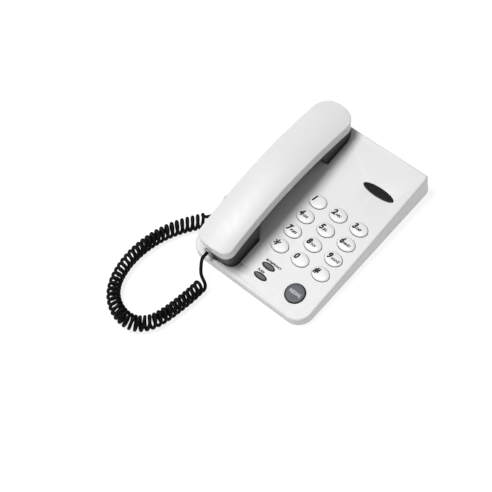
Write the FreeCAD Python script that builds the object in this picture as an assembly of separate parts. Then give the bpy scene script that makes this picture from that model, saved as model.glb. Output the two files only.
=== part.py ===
import FreeCAD, Part
import math
import os

Vec = FreeCAD.Vector

# Base housing: X across, Y from the user's edge to the back, Z up from the desk
base_width = 138.0
base_depth = 189.0
foot_height = 1.5
front_height = 8.8
top_slope = 4.86
back_lean = 8.0
front_corner = 16.0
back_corner = 9.0
top_rounding = 2.0
fit_gap = 0.15
wall = 2.2
cover_thickness = 2.0
cover_gap = 0.25
foot_radius = 6.0
foot_recess = 0.8
foot_margin = 16.0

# Keypad, measured from the right edge and up the slope from the front edge
keypad_from_right = 42.8
keypad_y = 78.2
key_pitch_x = 24.4
key_pitch_y = 18.36
key_length = 18.4
key_width = 13.6
key_height = 1.3
key_rounding = 0.6
key_travel = 1.2
button_gap = 0.4
flange_width = 1.0
flange_thickness = 0.8
flange_gap = 0.3
plunger_radius = 2.4
plunger_length = 0.5
dome_height = 1.8
dome_radius = 4.0
dome_top_radius = 2.6
mat_thickness = 0.8
board_thickness = 1.2

# Function buttons and the indicator, measured like the keypad
redial_from_right = 24.7
redial_y = 22.4
redial_radius = 9.8
redial_height = 1.1
oval_from_right = 61.8
flash_y = 16.4
mute_y = 28.1
oval_length = 14.2
oval_width = 5.6
oval_height = 0.9
lens_from_right = 27.8
lens_y = 146.1
lens_length = 34.6
lens_width = 9.6
lens_thickness = 1.6
lens_proud = 0.4
lens_ledge = 1.0
led_radius = 1.5

# Main board, held under the top housing, and the mat on it
board_left = 34.2
board_right = 29.3
board_y0 = 14.0
board_y1 = 158.0
mat_y0 = 11.0
mat_y1 = 116.0
mat_margin = 0.3
board_margin = 4.0
board_boss_radius = 2.2
board_screw_radius = 1.0
board_screw_length = 4.6
small_head_radius = 1.9
small_head_height = 1.1

# Screws that close the base
screw_radius = 1.3
screw_length = 7.0
head_radius = 2.6
head_height = 1.6
screw_boss_radius = 3.2
screw_seat = 1.8
head_gap = 0.2
close_margin = 9.0
drive_width = 0.7
drive_reach = 0.6
drive_depth = 0.6
end_gap = 0.3
left_screw_from_front = 51.5
left_screw_from_back = 58.5
right_screw_from_front = 38.5
right_screw_from_back = 54.5
thread_gap = 0.05

# Parts under the main board: sizes, and places from its front left corner
dialler = (16.0, 88.0, 16.0, 10.0, 2.2)
speech_chip = (5.0, 106.0, 10.0, 7.0, 2.2)
crystal = (36.0, 86.0, 10.0, 4.0, 3.0)
small_capacitor = (2.5, 2.4)
large_capacitor = (3.2, 3.2)
capacitor_places = [(5.0, 86.0, small_capacitor), (5.0, 94.0, small_capacitor),
                    (22.0, 114.0, large_capacitor), (32.0, 114.0, large_capacitor)]
resistor = (3.2, 1.6, 0.6)
resistor_count = 8
resistor_pitch = 7.0
resistor_x = 4.0
resistor_y = 124.0

# Handset: an arched slab, its long edges on a circle about an axis along X
handset_from_left = 32.0
near_end_from_front = 1.2
far_end_from_back = 0.5
near_half_width = 19.8
far_half_width = 20.8
near_corner = 10.0
far_corner = 16.0
near_bow = 70.0
far_bow = 40.0
near_draft = 7.2
far_draft = 9.0
arch_radius = 391.0
arch_y = 13.5
arch_top = 52.0
crown = 3.5
side_height = 10.0
edge_rounding = 1.2
shell_wall = 2.0
inner_inset = 0.8
handle_depth = 3.0
mouth_floor = 8.2
ear_floor = 19.3
mouth_cup_length = 40.8
ear_cup_length = 45.5
cup_slope = 8.0
cup_rounding = 3.0
cup_floor = 3.2
parting_gap = 0.1
well_gap = 1.0
seat_gap = 0.3

# Receiver, microphone and what the handset holds
ear_from_far_end = 21.0
ear_dish_radius = 13.0
ear_dish_depth = 1.2
speaker_radius = 14.0
speaker_height = 7.0
cloth_thickness = 0.4
ring_wall = 1.2
ring_height = 3.0
mouth_from_near_end = 26.3
boot_radius = 7.0
boot_height = 6.0
mic_radius = 4.85
mic_height = 4.6
boot_wall = 0.8
sound_hole = 1.1
handset_post = 3.0
handset_screw_radius = 1.3
handset_screw_length = 9.0
handset_screw_seat = 1.6
handset_head_height = 1.3
post_gap = 0.6
handset_screw_ear_x = 13.0
handset_screw_before_ear = 17.5
handset_screw_mouth_x = 13.0
handset_screw_past_mouth = 9.0
weight_length = 62.0
weight_width = 22.0
weight_thickness = 5.0
pedestal_width = 8.0
pedestal_length = 8.0
pedestal_from = 1.0

# Modular jacks and the plugs on the curly cord
jack_width = 7.7
jack_height = 6.2
jack_wall = 1.2
jack_depth = 12.0
plug_gap = 0.15
plug_insert = 10.0
contact_radius = 0.25
contact_gap = 0.02
contact_count = 4
contact_pitch = 1.02
contact_reach = 7.0
contact_tail = 1.5
jack_seat = 0.1
latch_height = 1.2
latch_width = 3.2
latch_end = 2.0
plug_proud = 1.6
line_jack_width = 9.8
line_jack_height = 6.9
line_jack_from_left = 45.5
base_jack_from_front = 64.5
handset_jack_offset = 7.0
handset_jack_z = 20.5

# Hook switch under the ear well
lever_width = 8.0
lever_thickness = 3.0
lever_clearance = 3.6
nub_length = 5.0
nub_width = 9.0
nub_from_cup = 3.0
slot_gap = 0.6
slot_swing = 1.4
pin_radius = 1.25
pin_gap = 0.05
pin_from_back = 14.5
bracket_thickness = 2.0
bracket_gap = 0.4
spring_radius = 2.6
spring_wire = 0.5
spring_turns = 6
switch_button_gap = 0.3
knuckle_wall = 1.4
nub_rounding = 0.6
hook_switch_width = 10.0
hook_switch_depth = 6.0
hook_switch_back = 2.5
hook_button_width = 3.0
hook_button_depth = 2.0
hook_button_rise = 0.8

# Line board, ringer, ballast and the ringer switch at the back
line_board_from_left = 12.0
line_board_length = 40.0
line_board_depth = 28.5
line_board_from_back = 5.0
line_board_lift = 2.5
ringer_from_right = 39.0
ringer_y = -8.0
ringer_radius = 13.5
ringer_thickness = 0.6
ringer_holder_height = 3.6
holder_wall = 1.4
holder_ledge = 1.2
holder_lip = 0.4
slot_count = 5
slot_pitch = 4.0
slot_width = 1.6
ballast_length = 56.0
ballast_from_right = 15.0
ballast_depth = 56.0
ballast_from_back = 16.5
ballast_thickness = 4.0
peg_radius = 2.0
peg_rise = 1.0
knob_from_left = 21.0
knob_length = 5.0
knob_height = 3.0
knob_travel = 2.5
knob_proud = 1.2
knob_plate = 0.9
plate_lap = 0.4
switch_case_depth = 4.5

# Curly cord: wire, coil and the route of the coil's axis on the desk
cord_radius = 1.6
coil_radius = 5.2
coil_pitch = 5.1
coil_lean = 2.6
coil_hand = -1
desk_gap = 0.1
coil_route = [(-32.3, -116.2), (-32.4, -127.0), (-34.6, -143.0), (-37.5, -160.0), (-43.0, -175.5),
              (-56.0, -185.8), (-73.5, -185.5), (-89.0, -177.5), (-98.5, -165.0), (-103.3, -150.0),
              (-105.0, -134.0), (-103.3, -116.0), (-98.5, -99.5), (-91.0, -84.5), (-83.0, -73.5),
              (-76.9, -65.3)]
first_phase = 80.0
handset_tail = [((-37.8, -109.3, 15.2), (0.50, -0.75, -0.43))]
base_tail = [((-79.6, -57.4, 1.8), (0.25, 0.96, 0.05)),
             ((-79.2, -46.0, 2.6), (0.0, 0.99, 0.12)),
             ((-79.0, -36.2, 6.4), (0.05, 0.95, 0.30))]
least_cord_gap = 0.4
sample_step = 0.4
lead_radius = 0.4
lead_bend = 1.5
lead_clearance = 1.4
speaker_lead_ys = [-48.0, -20.0, 13.5, 46.0]
lead_past_ear = 7.0
lead_past_mouth = 3.0

# Values that follow from the sizes above
left_x = -base_width / 2
right_x = base_width / 2
keypad_x = right_x - keypad_from_right
redial_x = right_x - redial_from_right
oval_x = right_x - oval_from_right
lens_x = right_x - lens_from_right
board_x0 = keypad_x - board_left
board_x1 = keypad_x + board_right
mat_x0 = board_x0 - mat_margin
mat_x1 = board_x1 + mat_margin
handset_x = left_x + handset_from_left
handset_jack_x = handset_x - handset_jack_offset
line_jack_x = left_x + line_jack_from_left
line_board_x0 = left_x + line_board_from_left
line_board_x1 = line_board_x0 + line_board_length
ringer_x = right_x - ringer_from_right
ballast_x1 = right_x - ballast_from_right
ballast_x0 = ballast_x1 - ballast_length
knob_x = left_x + knob_from_left
front_y = -base_depth / 2
back_y = base_depth / 2
left_screw_front = front_y + left_screw_from_front
left_screw_back = back_y - left_screw_from_back
right_screw_front = front_y + right_screw_from_front
right_screw_back = back_y - right_screw_from_back
near_end = front_y + near_end_from_front
far_end = back_y - far_end_from_back
mouth_inner = near_end + mouth_cup_length
ear_inner = far_end - ear_cup_length
ear_y = far_end - ear_from_far_end
mouth_y = near_end + mouth_from_near_end
handset_screw_ear_y = ear_y - handset_screw_before_ear
handset_screw_mouth_y = mouth_y + handset_screw_past_mouth
nub_inner = ear_inner + nub_from_cup
pin_y = back_y - pin_from_back
line_board_y1 = back_y - line_board_from_back
line_board_y0 = line_board_y1 - line_board_depth
ballast_y1 = back_y - ballast_from_back
ballast_y0 = ballast_y1 - ballast_depth
base_jack_y = front_y + base_jack_from_front
speaker_lead_end = ear_y + lead_past_ear
lead_turn_y = mouth_y + lead_past_mouth
rim_z = foot_height
front_top = rim_z + front_height
slope_tan = math.tan(math.radians(top_slope))
lean_tan = math.tan(math.radians(back_lean))
cover_top = rim_z + cover_thickness
flange_top = -(wall + flange_gap)
flange_bottom = flange_top - flange_thickness
plunger_bottom = flange_bottom - plunger_length
mat_top = plunger_bottom - dome_height
mat_bottom = mat_top - mat_thickness
board_bottom = mat_bottom - board_thickness
arch_z = arch_top - arch_radius
shell_low = arch_radius - side_height
handle_low = shell_low - handle_depth
near_reference = arch_z + math.sqrt(arch_radius ** 2 - (near_end - arch_y) ** 2)
far_reference = arch_z + math.sqrt(arch_radius ** 2 - (far_end - arch_y) ** 2)
mouth_well_floor = mouth_floor - seat_gap
ear_well_floor = ear_floor - seat_gap
ear_skin = ear_well_floor - wall
lever_top = ear_skin - lever_clearance
lever_bottom = lever_top - lever_thickness
pin_z = lever_top - lever_thickness / 2
coil_axis_z = cord_radius + coil_radius + desk_gap
far_x = base_width
tall = 80.0


def box(x0, x1, y0, y1, z0, z1):
    return Part.makeBox(x1 - x0, y1 - y0, z1 - z0, Vec(x0, y0, z0))


def rod(radius, start, end):
    along = end - start
    return Part.makeCylinder(radius, along.Length, start, along)


def upright(radius, x, y, z0, z1):
    return rod(radius, Vec(x, y, z0), Vec(x, y, z1))


def ellipse_rod(half_x, half_y, x, y, z0, z1):
    if half_x >= half_y:
        curve = Part.Ellipse(Vec(x, y, z0), half_x, half_y)
    else:
        curve = Part.Ellipse(Vec(x, y, z0), half_y, half_x)
        curve.rotate(FreeCAD.Placement(Vec(x, y, z0), FreeCAD.Rotation(Vec(0, 0, 1), 90), Vec(0, 0, 0)))
    face = Part.Face(Part.Wire([curve.toShape()]))
    return face.extrude(Vec(0, 0, z1 - z0))


def join(first, *others):
    return first.fuse(list(others)).removeSplitter()


def group(shapes):
    return Part.makeCompound(shapes)


def on_slope(shape):
    # Turns a shape made flat, with Y along the slope and Z off the top face, into its place
    copy = shape.copy()
    copy.rotate(Vec(0, 0, 0), Vec(1, 0, 0), top_slope)
    copy.translate(Vec(0, front_y, front_top))
    return copy


def top_z(y):
    return front_top + (y - front_y) * slope_tan


def wall_y(z):
    # The leaning back wall's outer face
    return back_y - (z - rim_z) * lean_tan


def side_solid(points, x0, x1):
    # A closed outline in the YZ plane, drawn across from x0 to x1
    corners = [Vec(x0, y, z) for y, z in points]
    face = Part.Face(Part.makePolygon(corners + [corners[0]]))
    return face.extrude(Vec(x1 - x0, 0, 0))


def save(name, shape):
    if not shape.isValid():
        print("not valid:", name)
    print("%-22s solids %2d  volume %10.1f" % (name, len(shape.Solids), shape.Volume))
    shape.exportStep("parts/" + name + ".step")


# Base outline and blocks


def base_outline(inset, z):
    x0, x1 = -base_width / 2 + inset, base_width / 2 - inset
    y0, y1 = front_y + inset, back_y - inset
    front = front_corner - inset
    back = back_corner - inset
    corners = [(x0, y0, 1, 1, front), (x1, y0, -1, 1, front), (x1, y1, -1, -1, back), (x0, y1, 1, -1, back)]
    arcs = []
    for x, y, sx, sy, radius in corners:
        cut = radius * (1 - math.sqrt(0.5))
        on_side = Vec(x, y + sy * radius, z)
        on_end = Vec(x + sx * radius, y, z)
        middle = Vec(x + sx * cut, y + sy * cut, z)
        ends = (on_side, on_end) if sx == sy else (on_end, on_side)
        arcs.append(Part.Arc(ends[0], middle, ends[1]).toShape())
    edges = []
    for arc, following in zip(arcs, arcs[1:] + arcs[:1]):
        edges.append(arc)
        edges.append(Part.makeLine(arc.Vertexes[-1].Point, following.Vertexes[0].Point))
    return Part.Wire(edges)


def base_block(inset, z0):
    prism = Part.Face(base_outline(inset, z0)).extrude(Vec(0, 0, tall))
    drop = inset / math.cos(math.radians(top_slope))
    lean = inset / math.cos(math.radians(back_lean))
    reach = base_depth
    side = [(-reach, z0), (wall_y(z0) - lean, z0), (wall_y(tall) - lean, tall),
            (wall_y(tall) - lean, top_z(reach) + tall), (-reach, top_z(reach) + tall)]
    wedge = side_solid(side, -far_x, far_x)
    below = [(-reach, z0), (reach, z0), (reach, top_z(reach) - drop), (-reach, top_z(-reach) - drop)]
    return prism.common(wedge).common(side_solid(below, -far_x, far_x))


def top_edges(block):
    found = []
    for edge in block.Edges:
        on_top = [abs(v.Point.z - top_z(v.Point.y)) < 0.01 for v in edge.Vertexes]
        if all(on_top):
            found.append(edge)
    return found


# Pairs of arcs that meet smoothly, for the handset's sides, the curly cord and the spring


def arc_edge(start, tangent, end):
    chord = end - start
    along = Vec(chord).normalize()
    side = tangent - along * tangent.dot(along)
    if side.Length < 1e-6:
        return Part.makeLine(start, end)
    half_turn = math.acos(max(-1.0, min(1.0, tangent.dot(along))))
    rise = chord.Length / 2 * math.tan(half_turn / 2)
    middle = (start + end) * 0.5 + side.normalize() * rise
    return Part.Arc(start, middle, end).toShape()


def biarc(start, start_way, end, end_way):
    span = end - start
    both = start_way + end_way
    openness = 2 * (1 - start_way.dot(end_way))
    if openness < 1e-9:
        reach = span.dot(span) / (4 * span.dot(end_way))
    else:
        across = span.dot(both)
        reach = (-across + math.sqrt(across ** 2 + openness * span.dot(span))) / openness
    first = start + start_way * reach
    second = end - end_way * reach
    meet = (first + second) * 0.5
    way = (second - first).normalize()
    return [arc_edge(start, start_way, meet), arc_edge(meet, way, end)]


def biarc_wire(stations):
    edges = []
    for (start, start_way), (end, end_way) in zip(stations, stations[1:]):
        edges += biarc(start, start_way, end, end_way)
    return edges


# Handset outline and blocks


def end_points(half, corner, bow, end_y, sign, z):
    # Corner arc and gently bowed end, tangent to each other and to the long side
    reach = math.sqrt((bow - corner) ** 2 - (half - corner) ** 2)
    centre_y = end_y - sign * (bow - reach)
    bow_y = end_y - sign * bow
    ux = (half - corner) / (bow - corner)
    uy = sign * reach / (bow - corner)
    turn = math.atan2(abs(uy), ux) / 2
    side = Vec(half, centre_y, z)
    middle = Vec(half - corner + corner * math.cos(turn), centre_y + sign * corner * math.sin(turn), z)
    join_point = Vec(bow * ux, bow_y + bow * uy, z)
    return side, middle, join_point


def mirrored(point):
    return Vec(-point.x, point.y, point.z)


def near_y(z):
    # The drafted near end of the handset at a height, before any inset
    return near_end - (z - near_reference) * math.tan(math.radians(near_draft))


def far_y(z):
    return far_end + (z - far_reference) * math.tan(math.radians(far_draft))


def handset_outline(inset, z):
    near = near_y(z) + inset
    far = far_y(z) - inset
    n_side, n_mid, n_join = end_points(near_half_width - inset, near_corner - inset, near_bow, near, -1, z)
    f_side, f_mid, f_join = end_points(far_half_width - inset, far_corner - inset, far_bow, far, 1, z)
    away = Vec(0, 1, 0)
    edges = biarc(n_side, away, f_side, away)
    edges += [Part.Arc(f_side, f_mid, f_join).toShape(),
              Part.Arc(f_join, Vec(0, far, z), mirrored(f_join)).toShape(),
              Part.Arc(mirrored(f_join), mirrored(f_mid), mirrored(f_side)).toShape()]
    edges += biarc(mirrored(f_side), -away, mirrored(n_side), -away)
    edges += [Part.Arc(mirrored(n_side), mirrored(n_mid), mirrored(n_join)).toShape(),
              Part.Arc(mirrored(n_join), Vec(0, near, z), n_join).toShape(),
              Part.Arc(n_join, n_mid, n_side).toShape()]
    wire = Part.Wire(edges)
    wire.translate(Vec(handset_x, 0, 0))
    return wire


def handset_column(inset):
    # The handset's plan drawn up through its whole height, with drafted ends
    return Part.makeLoft([handset_outline(inset, 0), handset_outline(inset, tall)], True, True)


def below_arch(radius):
    start = Vec(handset_x - far_x, arch_y, arch_z)
    return Part.makeCylinder(radius, 2 * far_x, start, Vec(1, 0, 0))


def below_crown(drop):
    # Everything under the crowned top, a cross-section turned about the arch's axis
    half = 1.5 * far_half_width
    crown_radius = (far_half_width ** 2 + crown ** 2) / (2 * crown)
    centre = arch_radius + crown - crown_radius
    radius = crown_radius - drop
    side = centre + math.sqrt(radius ** 2 - half ** 2)
    low = arch_radius - tall
    left = Vec(handset_x - half, arch_y, arch_z + side)
    right = Vec(handset_x + half, arch_y, arch_z + side)
    peak = Vec(handset_x, arch_y, arch_z + centre + radius)
    edges = [Part.Arc(left, peak, right).toShape(),
             Part.makeLine(right, Vec(right.x, arch_y, arch_z + low)),
             Part.makeLine(Vec(right.x, arch_y, arch_z + low), Vec(left.x, arch_y, arch_z + low)),
             Part.makeLine(Vec(left.x, arch_y, arch_z + low), left)]
    sweep = 40.0
    face = Part.Face(Part.Wire(edges))
    face.rotate(Vec(0, arch_y, arch_z), Vec(1, 0, 0), -sweep / 2)
    return face.revolve(Vec(0, arch_y, arch_z), Vec(1, 0, 0), sweep)


def crown_z(x, y, drop):
    crown_radius = (far_half_width ** 2 + crown ** 2) / (2 * crown)
    centre = arch_radius + crown - crown_radius
    radius = centre + math.sqrt((crown_radius - drop) ** 2 - (x - handset_x) ** 2)
    return arch_z + math.sqrt(radius ** 2 - (y - arch_y) ** 2)


def arch_height(radius, y):
    return arch_z + math.sqrt(radius ** 2 - (y - arch_y) ** 2)


def cup_side(outset, floor_drop):
    # Side view of the inner shell: two cups joined by the arched underside of the handle.
    # A positive outset grows the cups' walls outwards, floor_drop lowers their floors.
    low = handle_low - outset
    mouth_y0 = mouth_inner + outset
    ear_y0 = ear_inner - outset
    mouth_z = mouth_floor - floor_drop
    ear_z = ear_floor - floor_drop
    mouth_top = mouth_y0 + cup_slope
    ear_top = ear_y0 - cup_slope
    reach = base_depth
    a = Vec(0, mouth_y0, mouth_z)
    b = Vec(0, mouth_top, arch_height(low, mouth_top))
    c = Vec(0, ear_top, arch_height(low, ear_top))
    d = Vec(0, ear_y0, ear_z)
    corners = [Vec(0, reach, ear_z), Vec(0, reach, tall), Vec(0, -reach, tall), Vec(0, -reach, mouth_z)]
    edges = [Part.makeLine(corners[3], a),
             Part.makeLine(a, b),
             Part.Arc(b, Vec(0, arch_y, arch_z + low), c).toShape(),
             Part.makeLine(c, d),
             Part.makeLine(d, corners[0]),
             Part.makeLine(corners[0], corners[1]),
             Part.makeLine(corners[1], corners[2]),
             Part.makeLine(corners[2], corners[3])]
    wire = Part.Wire(edges)
    wire.translate(Vec(-far_x, 0, 0))
    solid = Part.Face(wire).extrude(Vec(2 * far_x, 0, 0))
    outer = [e for e in solid.Edges if runs_across(e, a) or runs_across(e, d)]
    solid = solid.makeFillet(cup_rounding + outset, outer)
    inner = [e for e in solid.Edges if runs_across(e, b) or runs_across(e, c)]
    return solid.makeFillet(2 * cup_rounding, inner)


def runs_across(edge, point):
    ends = [v.Point for v in edge.Vertexes]
    if len(ends) != 2 or abs(ends[0].x - ends[1].x) < far_x:
        return False
    return all(math.hypot(p.y - point.y, p.z - point.z) < 0.01 for p in ends)


def cup_block(outset, floor_drop):
    return handset_column(inner_inset - outset).common(cup_side(outset, floor_drop))


# Round tubes along a run of lines and arcs


def tube_along(edges, radius, start, way):
    ring = Part.Wire([Part.makeCircle(radius, start, way)])
    wire = Part.Wire(edges)
    solid = wire.makePipeShell([ring], True, False)
    share = solid.Volume / (math.pi * radius ** 2 * wire.Length)
    print("tube length %.1f, volume %.3f of its section times its length" % (wire.Length, share))
    return solid


def rounded_run(points, bend):
    edges = []
    last = points[0]
    for before, corner, after in zip(points, points[1:], points[2:]):
        back = (before - corner).normalize()
        on = (after - corner).normalize()
        half = back.getAngle(on) / 2
        cut = bend / math.tan(half)
        begin = corner + back * cut
        finish = corner + on * cut
        middle = corner + (back + on).normalize() * (bend / math.sin(half) - bend)
        edges.append(Part.makeLine(last, begin))
        edges.append(Part.Arc(begin, middle, finish).toShape())
        last = finish
    edges.append(Part.makeLine(last, points[-1]))
    return edges


def lead(points, radius, bend):
    way = points[1] - points[0]
    return tube_along(rounded_run(points, bend), radius, points[0], way)


# Modular jacks and plugs, made with the mouth at y = 0 facing -Y


def jack_body(width, height):
    half = width / 2
    body = box(-half - jack_wall, half + jack_wall, 0, jack_depth, -jack_wall, height + jack_wall)
    hollow = box(-half, half, -1, jack_depth - jack_wall, 0, height)
    return body.cut([hollow] + contact_rods(height, contact_radius + contact_gap))


def contact_rods(height, radius):
    level = height - 2 * contact_radius
    back = jack_depth - jack_wall
    rods = []
    for i in range(contact_count):
        x = (i - (contact_count - 1) / 2) * contact_pitch
        tip = Vec(x, back - contact_reach, level)
        rods.append(rod(radius, tip, Vec(x, jack_depth + contact_tail, level)))
    return rods


def jack_contacts(height):
    return group(contact_rods(height, contact_radius))


def plug_body(out):
    half = jack_width / 2 - plug_gap
    top = jack_height - plug_gap - 4 * contact_radius
    body = box(-half, half, -out, plug_insert, latch_height, top)
    latch = box(-latch_width / 2, latch_width / 2, -out, plug_insert - latch_end, plug_gap, latch_height)
    return join(body, latch)


# Places of the modular parts


def to_left_wall(shape):
    copy = shape.copy()
    copy.rotate(Vec(0, 0, 0), Vec(0, 0, 1), -90)
    copy.translate(Vec(base_jack_mouth, base_jack_y, base_jack_z))
    return copy


def to_back_wall(shape):
    copy = shape.copy()
    copy.rotate(Vec(0, 0, 0), Vec(0, 0, 1), 180)
    copy.translate(Vec(line_jack_x, line_jack_mouth, line_jack_z))
    return copy


def to_handset(shape):
    copy = shape.copy()
    copy.translate(Vec(handset_jack_x, handset_jack_mouth, handset_jack_low))
    return copy


base_jack_mouth = -base_width / 2 + wall + jack_seat
base_jack_z = cover_top + jack_wall + jack_seat
line_board_z = cover_top + line_board_lift
line_board_top = line_board_z + board_thickness
line_jack_z = line_board_top + jack_wall
back_wall_thick = wall / math.cos(math.radians(back_lean))
line_jack_mouth = wall_y(line_jack_z + line_jack_height + jack_wall) - back_wall_thick - jack_seat
handset_jack_low = handset_jack_z - jack_height / 2
jack_side = handset_jack_offset + jack_width / 2 + jack_wall
inner_corner = near_corner - inner_inset - shell_wall
corner_x = near_half_width - near_corner
past_corner = max(0, jack_side - corner_x)
corner_back = near_bow - math.sqrt((near_bow - inner_corner) ** 2 - corner_x ** 2)
wall_sag = corner_back - math.sqrt(inner_corner ** 2 - past_corner ** 2)
handset_jack_back = inner_inset + shell_wall + jack_seat + wall_sag
handset_jack_mouth = near_y(handset_jack_low - jack_wall) + handset_jack_back

os.makedirs("parts", exist_ok=True)

# Cups, wells and the top housing

cups = cup_block(0, 0)
well_cut = cup_block(well_gap, seat_gap)
well_wall = cup_block(well_gap + wall, seat_gap + wall)

block = base_block(0, rim_z)
block = block.makeFillet(top_rounding, top_edges(block))
cavity = base_block(wall, rim_z - 1).cut(well_wall)
housing = block.cut(cavity).cut(well_cut)

row_count = 4
column_count = 3
key_names = ["key_1", "key_2", "key_3", "key_4", "key_5", "key_6",
             "key_7", "key_8", "key_9", "key_star", "key_0", "key_hash"]
key_places = []
for row in range(row_count):
    for column in range(column_count):
        x = keypad_x + (column - (column_count - 1) / 2) * key_pitch_x
        y = keypad_y - (row - (row_count - 1) / 2) * key_pitch_y
        key_places.append((x, y))

caps = []
for name, (x, y) in zip(key_names, key_places):
    caps.append((name, x, y, key_length / 2, key_width / 2, key_height))
caps.append(("redial_button", redial_x, redial_y, redial_radius, redial_radius, redial_height))
caps.append(("flash_button", oval_x, flash_y, oval_length / 2, oval_width / 2, oval_height))
caps.append(("mute_button", oval_x, mute_y, oval_length / 2, oval_width / 2, oval_height))

cuts = []
for name, x, y, half_x, half_y, height in caps:
    cuts.append(on_slope(ellipse_rod(half_x + button_gap, half_y + button_gap, x, y, -wall - 2, 2)))
half_lens = (lens_length / 2, lens_width / 2)
lens_hole = ellipse_rod(half_lens[0] - lens_ledge, half_lens[1] - lens_ledge, lens_x, lens_y, -wall - 2, 2)
lens_seat = ellipse_rod(half_lens[0] + fit_gap, half_lens[1] + fit_gap, lens_x, lens_y, -lens_thickness, 2)
cuts += [on_slope(lens_hole), on_slope(lens_seat)]

half_jack = jack_width / 2
cuts.append(to_left_wall(box(-half_jack, half_jack, -wall - jack_seat - 1, 0.01, 0, jack_height)))
half_line = line_jack_width / 2
cuts.append(to_back_wall(box(-half_line, half_line, -wall * 3, 0.01, 0, line_jack_height)))
knob_z = line_board_top + knob_height
slot_half = knob_length / 2 + knob_travel + button_gap
slot_low = knob_z - knob_height / 2 - button_gap
slot_high = knob_z + knob_height / 2 + button_gap
knob_slot = box(knob_x - slot_half, knob_x + slot_half, back_y - 3 * wall, back_y, slot_low, slot_high)
cuts.append(knob_slot)
nub_outer = nub_inner + nub_length
nub_slot = box(handset_x - nub_width / 2 - slot_gap, handset_x + nub_width / 2 + slot_gap,
               nub_inner - slot_gap, nub_outer + slot_gap + slot_swing, ear_skin - 1, ear_well_floor + 1)
cuts.append(nub_slot)

# Bosses under the top face for the main board, and down to the cover for the closing screws
board_screws_at = []
for sx in (-1, 1):
    for sy in (-1, 1):
        board_screws_at.append((keypad_x + sx * key_pitch_x / 2, keypad_y + sy * key_pitch_y))
board_screws_at += [(board_x0 + board_margin, board_y1 - board_margin),
                    (board_x1 - board_margin, board_y1 - board_margin)]
close_screws_at = [(left_x + close_margin, left_screw_front), (left_x + close_margin, left_screw_back),
                   (right_x - close_margin, right_screw_front), (right_x - close_margin, right_screw_back)]
boss_low = cover_top + screw_seat
bosses = []
for x, y in board_screws_at:
    bosses.append(on_slope(upright(board_boss_radius, x, y, mat_bottom, -wall / 2)))
for x, y in close_screws_at:
    bosses.append(upright(screw_boss_radius, x, y, boss_low, top_z(y) - wall / 2))

# Brackets for the hook lever's pin
bracket_x = lever_width / 2 + bracket_gap
for side in (-1, 1):
    x0 = handset_x + side * bracket_x
    x1 = x0 + side * bracket_thickness
    y0, y1 = pin_y - 3 * pin_radius, pin_y + 3 * pin_radius
    bosses.append(box(min(x0, x1), max(x0, x1), y0, y1, pin_z - 2.4 * pin_radius, ear_skin + 0.5))
    cuts.append(rod(pin_radius, Vec(min(x0, x1) - 1, pin_y, pin_z), Vec(max(x0, x1) + 1, pin_y, pin_z)))
board_bore_top = mat_bottom + board_screw_length - board_thickness
for x, y in board_screws_at:
    cuts.append(on_slope(upright(board_screw_radius, x, y, mat_bottom - 1, board_bore_top)))
for x, y in close_screws_at:
    cuts.append(upright(screw_radius, x, y, boss_low - 1, rim_z + head_height + screw_length + end_gap))
housing = housing.fuse(bosses).cut(cuts).removeSplitter()
save("base_top_housing", housing)

# Bottom cover with its screw wells, standoffs, pegs, sound slots and foot recesses

cover = Part.Face(base_outline(wall + cover_gap, rim_z)).extrude(Vec(0, 0, cover_thickness))
cover = cover.common(base_block(wall + cover_gap, rim_z))
feet_at = []
for sx in (-1, 1):
    for sy in (-1, 1):
        feet_at.append((sx * (base_width / 2 - foot_margin), sy * (base_depth / 2 - foot_margin)))
pegs_at = [(ballast_x0 + 4 * peg_radius, (ballast_y0 + ballast_y1) / 2),
           (ballast_x1 - 4 * peg_radius, (ballast_y0 + ballast_y1) / 2)]
stands_at = []
for x in (line_board_x0 + 2 * peg_radius, line_board_x1 - 2 * peg_radius):
    for y in (line_board_y0 + 2 * peg_radius, line_board_y1 - 2 * peg_radius):
        stands_at.append((x, y))
peg_thin = peg_radius * 0.6
added = []
for x, y in close_screws_at:
    added.append(upright(head_radius + head_gap + 1.2, x, y, cover_top - 0.5, boss_low))
for x, y in stands_at:
    added.append(upright(peg_radius, x, y, cover_top - 0.5, line_board_z))
    added.append(upright(peg_thin, x, y, line_board_z, line_board_top - fit_gap))
for x, y in pegs_at:
    added.append(upright(peg_radius, x, y, cover_top - 0.5, cover_top + ballast_thickness + peg_rise))
removed = []
for x, y in close_screws_at:
    removed.append(upright(head_radius + head_gap, x, y, rim_z - 1, rim_z + head_height))
    removed.append(upright(screw_radius + head_gap, x, y, rim_z - 1, boss_low + 1))
for x, y in feet_at:
    removed.append(upright(foot_radius + fit_gap, x, y, rim_z - 1, rim_z + foot_recess))
for i in range(slot_count):
    x = ringer_x + (i - (slot_count - 1) / 2) * slot_pitch
    removed.append(box(x - slot_width / 2, x + slot_width / 2, ringer_y - ringer_radius / 2,
                       ringer_y + ringer_radius / 2, rim_z - 1, cover_top + 1))
save("base_bottom_cover", cover.fuse(added).cut(removed).removeSplitter())

feet = []
for x, y in feet_at:
    foot = upright(foot_radius, x, y, 0, rim_z + foot_recess)
    lowest = [e for e in foot.Edges if abs(e.CenterOfMass.z) < 0.01 and e.Length > foot_radius]
    feet.append(foot.makeChamfer(foot_height / 4, lowest))
save("rubber_feet", group(feet))

screws = []
for x, y in close_screws_at:
    top = rim_z + head_height + screw_length
    head = upright(head_radius, x, y, rim_z + head_gap, rim_z + head_height)
    shank = upright(screw_radius - thread_gap, x, y, rim_z + head_height, top)
    reach = head_radius * drive_reach
    half = drive_width / 2
    drive_top = rim_z + head_gap + drive_depth
    drive = box(x - reach, x + reach, y - half, y + half, 0, drive_top)
    cross = box(x - half, x + half, y - reach, y + reach, 0, drive_top)
    screws.append(join(head, shank).cut([drive, cross]))
save("base_screws", group(screws))

# Main board, its screws and its parts

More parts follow.
